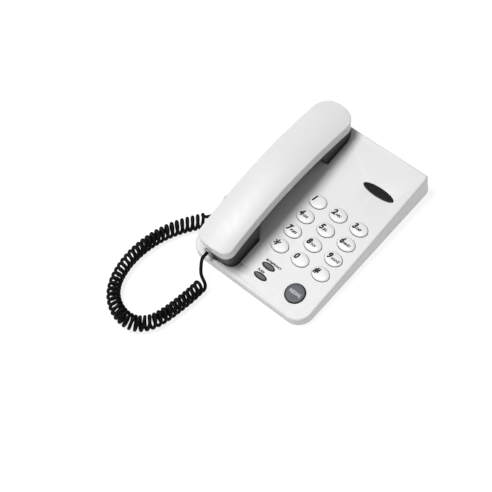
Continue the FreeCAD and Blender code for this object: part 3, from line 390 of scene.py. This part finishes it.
clear = {"passes": 0.55, "bends": 1.5, "streakDepth": 0.00003}


def clearPlastic(name, colour, rough):
    # tinted or clear plastic with the faint streaks of its flow
    material, shader = newFinish(name)
    place = objectPlace(material)
    flow = noiseAt(material, place, patternScale["flow"])
    toneBetween(material, shader, flow, toned(colour, 0.93), colour)
    roughBetween(material, shader, flow, rough * 0.8, rough * 1.3)
    bumped(material, shader, flow, clear["streakDepth"])
    shader.inputs["Transmission Weight"].default_value = clear["passes"]
    shader.inputs["IOR"].default_value = clear["bends"]
    return material


laminate = {
    "field": (0.015, 0.12, 0.035, 1.0), "otherField": (0.012, 0.10, 0.030, 1.0),
    "track": (0.055, 0.24, 0.075, 1.0), "trackWidth": 0.035, "trackBlur": 0.15, "trackDepth": 0.00003,
    "smoothest": 0.28, "roughest": 0.42,
}


def boardLaminate(name):
    # green resist over copper: bricks whose joints are the tracks, and a fine noise for the glass cloth
    material, shader = newFinish(name)
    place = objectPlace(material)
    tracks = material.node_tree.nodes.new("ShaderNodeTexBrick")
    tracks.inputs["Scale"].default_value = patternScale["track"]
    tracks.inputs["Mortar Size"].default_value = laminate["trackWidth"]
    tracks.inputs["Mortar Smooth"].default_value = laminate["trackBlur"]
    tracks.inputs["Color1"].default_value = laminate["field"]
    tracks.inputs["Color2"].default_value = laminate["otherField"]
    tracks.inputs["Mortar"].default_value = laminate["track"]
    wire(material, place, tracks.inputs["Vector"])
    wire(material, tracks.outputs["Color"], shader.inputs["Base Color"])
    glassCloth = noiseAt(material, place, patternScale["glassCloth"], detail=1.0)
    roughBetween(material, shader, glassCloth, laminate["smoothest"], laminate["roughest"])
    bumped(material, shader, tracks.outputs["Fac"], laminate["trackDepth"])
    return material


cloth = {"wander": 0.6, "threadDepth": 0.0001, "rough": 0.9, "sheen": 0.3}


def wovenCloth(name, colour, pitch):
    # plain weave: two sets of threads at right angles
    material, shader = newFinish(name)
    nodes = material.node_tree.nodes
    bandScale = 0.31 / pitch  # a band wave of scale 1 comes round about every 0.31
    heights = []
    for turn in (0.0, math.pi / 2):
        wave = nodes.new("ShaderNodeTexWave")
        wave.wave_type = "BANDS"
        wave.bands_direction = "X"
        wave.inputs["Scale"].default_value = bandScale
        wave.inputs["Distortion"].default_value = cloth["wander"]
        wire(material, objectPlace(material, turn=turn), wave.inputs["Vector"])
        heights.append(wave.outputs["Fac"])
    higher = nodes.new("ShaderNodeMath")
    higher.operation = "MAXIMUM"
    wire(material, heights[0], higher.inputs[0])
    wire(material, heights[1], higher.inputs[1])
    threads = higher.outputs["Value"]
    toneBetween(material, shader, threads, toned(colour, 0.5), toned(colour, 1.6), low=0.2, high=0.9)
    bumped(material, shader, threads, cloth["threadDepth"])
    shader.inputs["Roughness"].default_value = cloth["rough"]
    shader.inputs["Sheen Weight"].default_value = cloth["sheen"]
    return material


printed = {"smoothest": 0.40, "roughest": 0.58, "depth": 0.000008, "specular": 0.15}


def printedInk(name, colour):
    # pad-printed ink: nearly flat, with thin spots
    material, shader = newFinish(name)
    place = objectPlace(material)
    thin = noiseAt(material, place, patternScale["ink"])
    toneBetween(material, shader, thin, colour, [c * 1.5 + 0.01 for c in colour])
    roughBetween(material, shader, thin, printed["smoothest"], printed["roughest"])
    bumped(material, shader, thin, printed["depth"])
    shader.inputs["Specular IOR Level"].default_value = printed["specular"]
    return material


# plastics and rubbers: name, colour, roughness, grain's size and depth in metres, drift of the tone, specular
plastics = {
    "housing": ("housingPlastic", (0.668, 0.664, 0.662), 0.42, 0.0007, 0.00003, 0.012, 0.4),
    "cover": ("coverPlastic", (0.62, 0.63, 0.645), 0.55, 0.0006, 0.00006, 0.03, 0.5),
    "handsetGrey": ("handsetGreyPlastic", (0.030, 0.032, 0.035), 0.38, 0.0005, 0.00004, 0.10, 0.5),
    "key": ("keyPlastic", (0.668, 0.666, 0.664), 0.36, 0.0006, 0.00002, 0.012, 0.5),
    "button": ("buttonPlastic", (0.075, 0.083, 0.094), 0.46, 0.0005, 0.00004, 0.05, 0.3),
    # the rim finish is partly the rim's own dark tone and partly painted shade of its side wall
    "buttonRimAndShade": ("buttonRimAndShadePlastic", (0.012, 0.013, 0.015), 0.46, 0.0005, 0.00003, 0.08, 0.2),
    "buttonFace": ("buttonFacePlastic", (0.070, 0.074, 0.080), 0.46, 0.0005, 0.00003, 0.06, 0.3),
    # painted shade: a near-black finish for the walls round the caps, standing in for the shadow in their
    # narrow gaps
    "gap": ("paintedGapShade", (0.020, 0.021, 0.023), 0.70, 0.0005, 0.00003, 0.10, 0.2),
    "rubber": ("footRubber", (0.018, 0.018, 0.019), 0.78, 0.0009, 0.00012, 0.15, 0.3),
    "mat": ("matSilicone", (0.30, 0.31, 0.32), 0.60, 0.0010, 0.00005, 0.05, 0.5),
    "lens": ("lensPlastic", (0.006, 0.006, 0.007), 0.14, 0.0030, 0.00001, 0.10, 0.4),
    "component": ("componentPlastic", (0.020, 0.020, 0.022), 0.55, 0.0004, 0.00004, 0.15, 0.5),
    "lever": ("leverPlastic", (0.085, 0.090, 0.095), 0.48, 0.0006, 0.00004, 0.06, 0.5),
    "jack": ("jackPlastic", (0.022, 0.022, 0.025), 0.42, 0.0006, 0.00003, 0.12, 0.5),
    "cord": ("cordVinyl", (0.003, 0.003, 0.0031), 0.52, 0.0004, 0.00003, 0.15, 0.10),
    "lead": ("leadVinyl", (0.36, 0.028, 0.018), 0.42, 0.0005, 0.00002, 0.10, 0.5),
}
# metals: name, colour, roughness, stretch of the scratches, their depth in metres
metals = {
    "screw": ("screwSteel", (0.52, 0.53, 0.54), 0.32, (1.0, 1.0, 6.0), 0.00002),
    "weight": ("weightSteel", (0.30, 0.30, 0.31), 0.46, (0.15, 1.0, 1.0), 0.00004),
    "speaker": ("speakerMetal", (0.42, 0.42, 0.43), 0.36, (1.0, 1.0, 1.0), 0.00003),
    "microphone": ("microphoneMetal", (0.66, 0.67, 0.69), 0.30, (1.0, 1.0, 0.3), 0.00002),
    "brass": ("contactBrass", (0.72, 0.50, 0.20), 0.26, (1.0, 0.15, 1.0), 0.00002),
}
finishes = {key: mouldedPlastic(*row) for key, row in plastics.items()}
finishes.update({key: metalFinish(*row) for key, row in metals.items()})
finishes.update({
    "led": clearPlastic("ledPlastic", (0.55, 0.030, 0.020), 0.10),
    "plug": clearPlastic("plugPlastic", (0.78, 0.80, 0.82), 0.14),
    "laminate": boardLaminate("boardLaminate"),
    "cloth": wovenCloth("earpieceFabric", (0.035, 0.035, 0.037), 0.0006),
    "blackInk": printedInk("blackInk", (0.012, 0.012, 0.013)),
    "paleInk": printedInk("paleInk", (0.36, 0.38, 0.40)),
})
print("finishes mixed", len(finishes))


def dress(obj, finish):
    obj.data.materials.clear()
    obj.data.materials.append(finishes[finish])
    return obj


def paintWhere(obj, finish, wanted):
    # a second material on the faces that the test wants
    obj.data.materials.append(finishes[finish])
    slotNumber = len(obj.data.materials) - 1
    for face in obj.data.polygons:
        if wanted(face.center, face.normal):
            face.material_index = slotNumber


# the parts inside keep their solids and get a finish each
inside = {
    "laminate": ["main_board", "line_board"],
    "component": ["board_parts", "hook_switch", "ringer_switch_body"],
    "mat": ["keypad_mat"],
    "screw": ["board_screws", "hook_pin", "hook_spring", "handset_screws"],
    "led": ["indicator_led"],
    "lever": ["hook_lever", "ringer_holder"],
    "brass": ["ringer_disc", "line_jack_contacts", "base_cord_contacts", "handset_jack_contacts"],
    "weight": ["ballast_plate", "handset_weight"],
    "speaker": ["earpiece_speaker"],
    "microphone": ["microphone"],
    "rubber": ["microphone_boot"],
    "cloth": ["earpiece_cloth"],
    "lead": ["base_leads", "handset_leads"],
    "jack": ["base_cord_jack", "handset_jack", "line_jack"],
}
for finish, nodes in inside.items():
    for node in nodes:
        dress(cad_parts[node], finish)
print("inner parts finished", sum(len(nodes) for nodes in inside.values()))

# outer mouldings: a merged copy of each solid, shaded as one smooth skin
# each node's piece, finish, body and slot
mouldings = {
    "base_top_housing": ("baseHousing", "housing", "base", "housing_plastic"),
    "base_bottom_cover": ("baseCover", "cover", "base", "cover_plastic"),
    "rubber_feet": ("baseFeet", "rubber", "base", "foot_rubber"),
    "base_screws": ("baseScrews", "screw", "base", "screw_steel"),
    "handset_outer_shell": ("handsetTop", "housing", "handset", "housing_plastic"),
    "handset_inner_shell": ("handsetUnderside", "handsetGrey", "handset", "handset_grey_plastic"),
    "indicator_lens": ("indicatorWindow", "lens", "base", "lens_plastic"),
    "ringer_switch_knob": ("ringerKnob", "lever", "ringer_switch", "lever_plastic"),
}
for node, (name, finish, body, slotName) in mouldings.items():
    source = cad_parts[node]
    piece = bpy.data.objects.new(name, source.data.copy())
    bpy.context.scene.collection.objects.link(piece)
    edit(piece)
    bpy.ops.mesh.select_all(action="SELECT")
    bpy.ops.mesh.remove_doubles(threshold=0.002 * mm)
    leave()
    smooth(piece, mouldingCrease)
    addModifier(piece, "WEIGHTED_NORMAL", keep_sharp=True, weight=100)
    dress(piece, finish)
    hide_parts(node)
    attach(piece, body)
print("mouldings dressed", len(mouldings))

# caps of keys and buttons, in millimetres: each one spreads under the housing into a flange
# and goes on down as a plunger; its wall is painted dark up to capShade, a painted shade for its gap
capFoot = {"flange": 1.0, "flangeTop": -2.5, "flangeBottom": -3.3, "plungerRadius": 2.4,
           "plungerBottom": -3.8}
# the cap's wall is painted with the dark gap finish up to this height, as painted shade
capShade = 0.25
capSides = 96


def capPiece(name, shape):
    # an oval cap: a drum whose top is inset and raised in rings, its foot spread into the flange
    bpy.ops.object.select_all(action="DESELECT")
    top, bottom = shape["wall"], capFoot["flangeTop"]
    bpy.ops.mesh.primitive_cylinder_add(vertices=capSides, radius=1.0, depth=top - bottom,
                                        end_fill_type="NGON", location=(0, 0, (top + bottom) / 2))
    cap = bpy.context.object
    cap.name = name
    cap.scale = (shape["halfLength"], shape["halfWidth"], 1.0)
    settle(cap)
    edit(cap)
    pickFaces(cap, facesUp)
    wide, deep, level = shape["halfLength"], shape["halfWidth"], top
    for inset, rise in shape["dome"]:
        bpy.ops.mesh.inset(thickness=0.0)
        resizePicked((wide - inset) / wide, (deep - inset) / deep, (0, 0, level))
        bpy.ops.transform.translate(value=(0, 0, rise))
        wide, deep, level = wide - inset, deep - inset, level + rise
    bpy.ops.mesh.poke()
    bpy.ops.mesh.select_all(action="SELECT")
    bpy.ops.mesh.bisect(plane_co=(0, 0, capShade), plane_no=(0, 0, 1))
    pickFaces(cap, facesDown)
    bpy.ops.mesh.inset(thickness=0.0)
    wide, deep = shape["halfLength"] + capFoot["flange"], shape["halfWidth"] + capFoot["flange"]
    resizePicked(wide / shape["halfLength"], deep / shape["halfWidth"], (0, 0, bottom))
    downTo = capFoot["flangeBottom"]
    extrudePicked(0, 0, downTo - bottom)
    bpy.ops.mesh.inset(thickness=0.0)
    resizePicked(capFoot["plungerRadius"] / wide, capFoot["plungerRadius"] / deep, (0, 0, downTo))
    extrudePicked(0, 0, capFoot["plungerBottom"] - downTo)
    leave()
    cap.scale = (mm, mm, mm)
    settle(cap)
    return smooth(cap, capCrease)


# printing, in millimetres: type is dropped onto a cap from above it, or lies just over the housing
printing = {"dropFrom": 3.0, "over": 0.005, "curveSteps": 4, "mergeWithin": 0.01, "slimmest": 0.02, "cuts": 2}


def printedMark(name, words, look, place, ground, body):
    # type set flat, made a mesh, cut finer, pressed onto the cap under it and given the ink's thickness
    bpy.ops.object.select_all(action="DESELECT")
    bpy.ops.object.text_add(location=(0, 0, 0))
    text = bpy.context.object
    text.name = name
    text.data.body = words
    text.data.size = look["size"]
    text.data.shear = look["lean"]
    text.data.offset = look["bold"]
    text.data.resolution_u = printing["curveSteps"]
    text.data.align_x = look["align"]
    text.data.align_y = "CENTER"
    bpy.ops.object.convert(target="MESH")
    mark = bpy.context.object
    height = printing["dropFrom"] if ground else printing["over"]
    mark.scale = (look["stretch"] * mm, mm, mm)
    mark.location = (look["x"] * mm, look["along"] * mm, height * mm)
    settle(mark)
    edit(mark)
    bpy.ops.mesh.select_all(action="SELECT")
    bpy.ops.mesh.remove_doubles(threshold=printing["mergeWithin"] * mm)
    bpy.ops.mesh.dissolve_limited(angle_limit=0.01)
    bpy.ops.mesh.quads_convert_to_tris(quad_method="BEAUTY", ngon_method="BEAUTY")
    bpy.ops.mesh.dissolve_degenerate(threshold=printing["slimmest"] * mm)
    bpy.ops.mesh.subdivide(number_cuts=printing["cuts"])
    leave()
    if ground:
        addModifier(mark, "SHRINKWRAP", wrap_method="PROJECT", use_project_z=True,
                    use_negative_direction=True, use_positive_direction=False, target=ground,
                    offset=printing["over"] * mm)
    addModifier(mark, "SOLIDIFY", thickness=look["thick"] * mm, offset=1.0)
    ontoSlope(mark, *place)
    dress(mark, look["ink"])
    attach(mark, body)


# keys: one is modelled flat at the origin, then copied to its twelve places
keypad = {
    "halfLength": 9.2, "halfWidth": 6.8, "wall": 0.85,
    "dome": [(0.12, 0.14), (0.16, 0.12), (0.24, 0.11), (0.40, 0.11), (0.65, 0.10), (0.9, 0.08),
             (1.1, 0.06), (1.1, 0.03)],
    "x": 26.2, "along": 78.2, "pitchX": 24.4, "pitchAlong": 18.36,
    "rows": [[("key_1", "1", ""), ("key_2", "2", "ABC"), ("key_3", "3", "DEF")],
             [("key_4", "4", "GHI"), ("key_5", "5", "JKL"), ("key_6", "6", "MNO")],
             [("key_7", "7", "PQRS"), ("key_8", "8", "TUV"), ("key_9", "9", "WXYZ")],
             [("key_star", "*", ""), ("key_0", "0", ""), ("key_hash", "#", "")]],
}
# the type on a key, with its place from the key's middle
digitLook = {"size": 7.9, "stretch": 0.94, "lean": 0.28, "bold": 0.50, "thick": 0.05,
             "x": -5.0, "along": 0.75, "align": "CENTER", "ink": "blackInk"}
starLook = {"size": 15.0, "stretch": 0.94, "lean": 0.20, "bold": 0.30, "thick": 0.05,
            "x": -5.0, "along": -2.2, "align": "CENTER", "ink": "blackInk"}
letterLook = {"size": 3.2, "stretch": 0.95, "lean": 0.22, "bold": 0.17, "thick": 0.05,
              "x": -2.3, "along": -0.45, "align": "LEFT", "ink": "blackInk"}
keySpots = {}  # each key's place on the top face
for row, keysInRow in enumerate(keypad["rows"]):
    for column, key in enumerate(keysInRow):
        keySpots[key[0]] = (keypad["x"] + (column - 1) * keypad["pitchX"],
                            keypad["along"] + (1.5 - row) * keypad["pitchAlong"])

oneKey = capPiece("oneKey", keypad)
dress(oneKey, "key")
# painted shade: the cap's wall below capShade gets the dark gap finish, standing in for the gap's shadow
paintWhere(oneKey, "gap", lambda centre, normal: centre.z < capShade * mm)
print("one key modelled")
for keysInRow in keypad["rows"]:
    for node, digit, letters in keysInRow:
        look = starLook if digit == "*" else digitLook
        printedMark(node + "_digit", digit, look, keySpots[node], oneKey, node)
        if letters:
            printedMark(node + "_letters", letters, letterLook, keySpots[node], oneKey, node)
        cap = ontoSlope(copyOf(oneKey, node + "_cap"), *keySpots[node])
        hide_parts(node)
        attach(cap, node)
bpy.data.objects.remove(oneKey)
print("keypad set,", len(keySpots), "keys")

# redial button: a round grey cap with a darker, lower rim and its word; the rim's darkness is partly its own
# tone and partly painted shade of its side wall
redial = {
    "halfLength": 9.8, "halfWidth": 9.8, "wall": 0.75, "rim": 1.05, "x": 44.3, "along": 22.4,
    "dome": [(0.10, 0.12), (0.14, 0.08), (0.75, 0.0), (0.12, 0.12), (0.2, 0.04), (3.2, 0.05)],
}
redialWord = {"size": 4.2, "stretch": 0.98, "lean": 0.22, "bold": 0.22, "thick": 0.05,
              "x": 0.0, "along": 0.0, "align": "CENTER", "ink": "paleInk"}
redialFace = (redial["halfLength"] - redial["rim"]) * mm
redialCap = capPiece("redialCap", redial)
dress(redialCap, "button")
printedMark("redialWord", "REDIAL", redialWord, (redial["x"], redial["along"]), redialCap,
            "redial_button")
# the redial rim gets the dark rim finish: partly its own tone, partly painted shade
paintWhere(redialCap, "buttonRimAndShade", lambda centre, normal: math.hypot(centre.x, centre.y) > redialFace)
ontoSlope(redialCap, redial["x"], redial["along"])
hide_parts("redial_button")
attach(redialCap, "redial_button")

# flash and mute: two small ovals, each a dark rim round a paler dished face, with its word printed behind;
# the rim's darkness is partly its own tone and partly painted shade
ovals = {
    "halfLength": 7.1, "halfWidth": 2.8, "wall": 0.55, "rim": 1.05, "faceLean": 0.5, "x": 7.2,
    "dome": [(0.10, 0.10), (0.14, 0.07), (0.62, 0.0), (0.20, -0.22), (0.35, -0.08), (0.6, -0.03)],
    "buttons": {"flash_button": ("FLASH", 16.4), "mute_button": ("MUTE/PRIVACY", 28.1)},
}
ovalWord = {"size": 2.8, "stretch": 0.95, "lean": 0.0, "bold": 0.16, "thick": 0.03,
            "x": -6.6, "along": 4.6, "align": "LEFT", "ink": "blackInk"}


def inOvalFace(centre, normal):
    wide, deep = ovals["halfLength"] - ovals["rim"], ovals["halfWidth"] - ovals["rim"]
    within = (centre.x / wide) ** 2 + (centre.y / deep) ** 2 < mm * mm
    return normal.z > ovals["faceLean"] and centre.z > 0.0 and within


ovalCap = capPiece("ovalCap", ovals)
# the oval's rim gets the dark rim finish: partly its own tone, partly painted shade
dress(ovalCap, "buttonRimAndShade")
paintWhere(ovalCap, "buttonFace", inOvalFace)
for node, (word, along) in ovals["buttons"].items():
    cap = ontoSlope(copyOf(ovalCap, node + "_cap"), ovals["x"], along)
    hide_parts(node)
    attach(cap, node)
    printedMark(node + "_word", word, ovalWord, (ovals["x"], along), None, "base")
bpy.data.objects.remove(ovalCap)

# painted shade: the steep walls of the housing round each cap get the dark gap finish in place of their own
# white
capHole = {"top": -0.25, "bottom": -3.5, "margin": 0.8, "steep": 0.3}
capHoles = [(spot, keypad) for spot in keySpots.values()]
capHoles += [((ovals["x"], along), ovals) for word, along in ovals["buttons"].values()]
capHoles.append(((redial["x"], redial["along"]), redial))
offTopFace = ontoTopFace.inverted()


def nearCap(place, spot, shape):
    wide = (place.x - spot[0]) / (shape["halfLength"] + capHole["margin"])
    deep = (place.y - spot[1]) / (shape["halfWidth"] + capHole["margin"])
    return math.hypot(wide, deep) < 1.0


def inCapHole(centre, normal):
    place = offTopFace @ centre / mm
    if place.z > capHole["top"] or place.z < capHole["bottom"] or abs(normal.z) > capHole["steep"]:
        return False
    return any(nearCap(place, spot, shape) for spot, shape in capHoles)


# painted shade on the walls of the cap holes
paintWhere(bpy.data.objects["baseHousing"], "gap", inCapHole)
print("buttons set")

# modular plugs, in millimetres: a clear body, a latch that bends away from it, and blades
plug = {
    "halfWidth": 3.7, "low": 1.2, "high": 5.05, "insert": 10.0, "edge": 0.22,
    "tailRim": 0.45, "tailHollow": 0.5,
    "latchLow": 0.15, "latchHalf": 1.6, "latchInset": 0.6, "latchShare": 0.72, "latchPivot": 0.35,
    "latchTaper": (0.92, 0.94),
    "blades": 4, "bladePitch": 1.02, "bladeSize": (0.3, 2.4, 2.0), "bladeEdge": 0.1,
    "bladeFromNose": 1.6, "bladeUnderTop": 0.9, "hair": 0.01,
}


def modularPlug(name, out):
    # made with the socket's mouth at y = 0, its nose inside at +y and its tail outside at -y
    bpy.ops.object.select_all(action="DESELECT")
    middle = (0, (plug["insert"] - out) / 2, (plug["low"] + plug["high"]) / 2)
    bpy.ops.mesh.primitive_cube_add(size=1.0, location=middle)
    body = bpy.context.object
    body.name = name
    body.scale = (2 * plug["halfWidth"], plug["insert"] + out, plug["high"] - plug["low"])
    settle(body)
    edit(body)
    pickFaces(body, facesBack)
    bpy.ops.mesh.inset(thickness=plug["tailRim"])
    extrudePicked(0, plug["tailHollow"], 0)
    pickFaces(body, facesDown)
    bpy.ops.mesh.inset(thickness=plug["latchInset"])
    pivot = plug["insert"] * plug["latchPivot"]
    narrower = plug["latchHalf"] / (plug["halfWidth"] - plug["latchInset"])
    resizePicked(narrower, plug["latchShare"], (0, pivot, plug["low"]))
    extrudePicked(0, 0, plug["latchLow"] - plug["low"])
    resizePicked(*plug["latchTaper"], (0, pivot, plug["latchLow"]))
    side = plug["halfWidth"] - plug["hair"]
    pickEdges(body, lambda a, b: abs(a.x) > side and abs(b.x) > side)
    bpy.ops.mesh.bevel(offset=plug["edge"], segments=3)
    leave()
    body.scale = (mm, mm, mm)
    settle(body)
    smooth(body, capCrease)
    return dress(body, "plug")


def plugBlades(name):
    bpy.ops.object.select_all(action="DESELECT")
    blades = []
    for i in range(plug["blades"]):
        x = (i - (plug["blades"] - 1) / 2) * plug["bladePitch"]
        place = (x, plug["insert"] - plug["bladeFromNose"], plug["high"] - plug["bladeUnderTop"])
        bpy.ops.mesh.primitive_cube_add(size=1.0, location=place)
        blade = bpy.context.object
        blade.scale = plug["bladeSize"]
        settle(blade)
        edit(blade)
        pickEdges(blade, lambda a, b: abs(a.z - b.z) < plug["hair"] and abs(a.x - b.x) < plug["hair"])
        bpy.ops.mesh.bevel(offset=plug["bladeEdge"], segments=2)
        leave()
        blades.append(blade)
    bpy.ops.object.select_all(action="DESELECT")
    for blade in blades:
        blade.select_set(True)
    bpy.context.view_layer.objects.active = blades[0]
    bpy.ops.object.join()
    joined = bpy.context.object
    joined.name = name
    joined.scale = (mm, mm, mm)
    settle(joined)
    return dress(joined, "brass")


# each plug's body, where its cord leaves it, its turn in degrees and its length
plugs = {
    "handset_plug": ("handset", handExit, 0.0, handPlugHigh.y - handPlugLow.y),
    "base_plug": ("base", baseExit, -90.0, basePlugHigh.x - basePlugLow.x),
}
for node, (body, exitPoint, turn, size) in plugs.items():
    out = size / mm - plug["insert"]
    intoPlace = (Matrix.Translation(exitPoint) @ Matrix.Rotation(math.radians(turn), 4, "Z")
                 @ Matrix.Translation((0, out * mm, -plugMiddle)))
    clearBody = modularPlug(node + "_body", out)
    blades = plugBlades(node + "_blades")
    for piece in (clearBody, blades):
        piece.matrix_world = intoPlace
        settle(piece)
    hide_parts(node)
    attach(clearBody, body)
    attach(blades, body)
print("plugs set")

# the cord is dressed, its CAD node hidden and its transform baked once its plugs are there
dress(cordPiece, "cord")
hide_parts("curly_cord")
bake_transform(cordPiece)

# studio: a white table that glows a little, a soft light high on the left and a much weaker one in front
studio = {
    "floorSize": 6.0, "floorTones": ((0.20, 0.20, 0.20), (0.21, 0.21, 0.21)), "floorGlow": 0.84,
    "floorRough": 0.9, "floorSpecular": 0.1, "white": (1.0, 1.0, 1.0, 1.0), "world": 0.30,
    "key": {"at": (-0.68, -0.22, 2.18), "size": 1.0, "power": 48.0},
    "fill": {"at": (-0.9, -1.6, 1.2), "size": 1.6, "power": 1.0},
}
bpy.ops.object.select_all(action="DESELECT")
bpy.ops.mesh.primitive_plane_add(size=studio["floorSize"], location=(0, 0, 0))
floor = bpy.context.object
floor.name = "studioFloor"
floorMaterial, floorShader = newFinish("studioFloorPaper")
floorTone = noiseAt(floorMaterial, objectPlace(floorMaterial), patternScale["floor"], detail=3.0)
toneBetween(floorMaterial, floorShader, floorTone, *studio["floorTones"])
floorShader.inputs["Emission Color"].default_value = studio["white"]
floorShader.inputs["Emission Strength"].default_value = studio["floorGlow"]
floorShader.inputs["Roughness"].default_value = studio["floorRough"]
floorShader.inputs["Specular IOR Level"].default_value = studio["floorSpecular"]
floor.data.materials.append(floorMaterial)


def softLight(name, at, size, power):
    # a round area light that looks at the phone
    bpy.ops.object.light_add(type="AREA", location=at)
    light = bpy.context.object
    light.name = name
    light.data.shape = "DISK"
    light.data.size = size
    light.data.energy = power
    toPhone = -Vector(at)
    light.rotation_euler = toPhone.to_track_quat("-Z", "Y").to_euler()


for name in ("key", "fill"):
    softLight(name + "Light", **studio[name])
world = bpy.data.worlds.new("studioAir")
bpy.context.scene.world = world
world.use_nodes = True
background = world.node_tree.nodes["Background"]
background.inputs["Color"].default_value = studio["white"]
background.inputs["Strength"].default_value = studio["world"]
bpy.context.scene.view_settings.view_transform = "Standard"
print("studio lit")
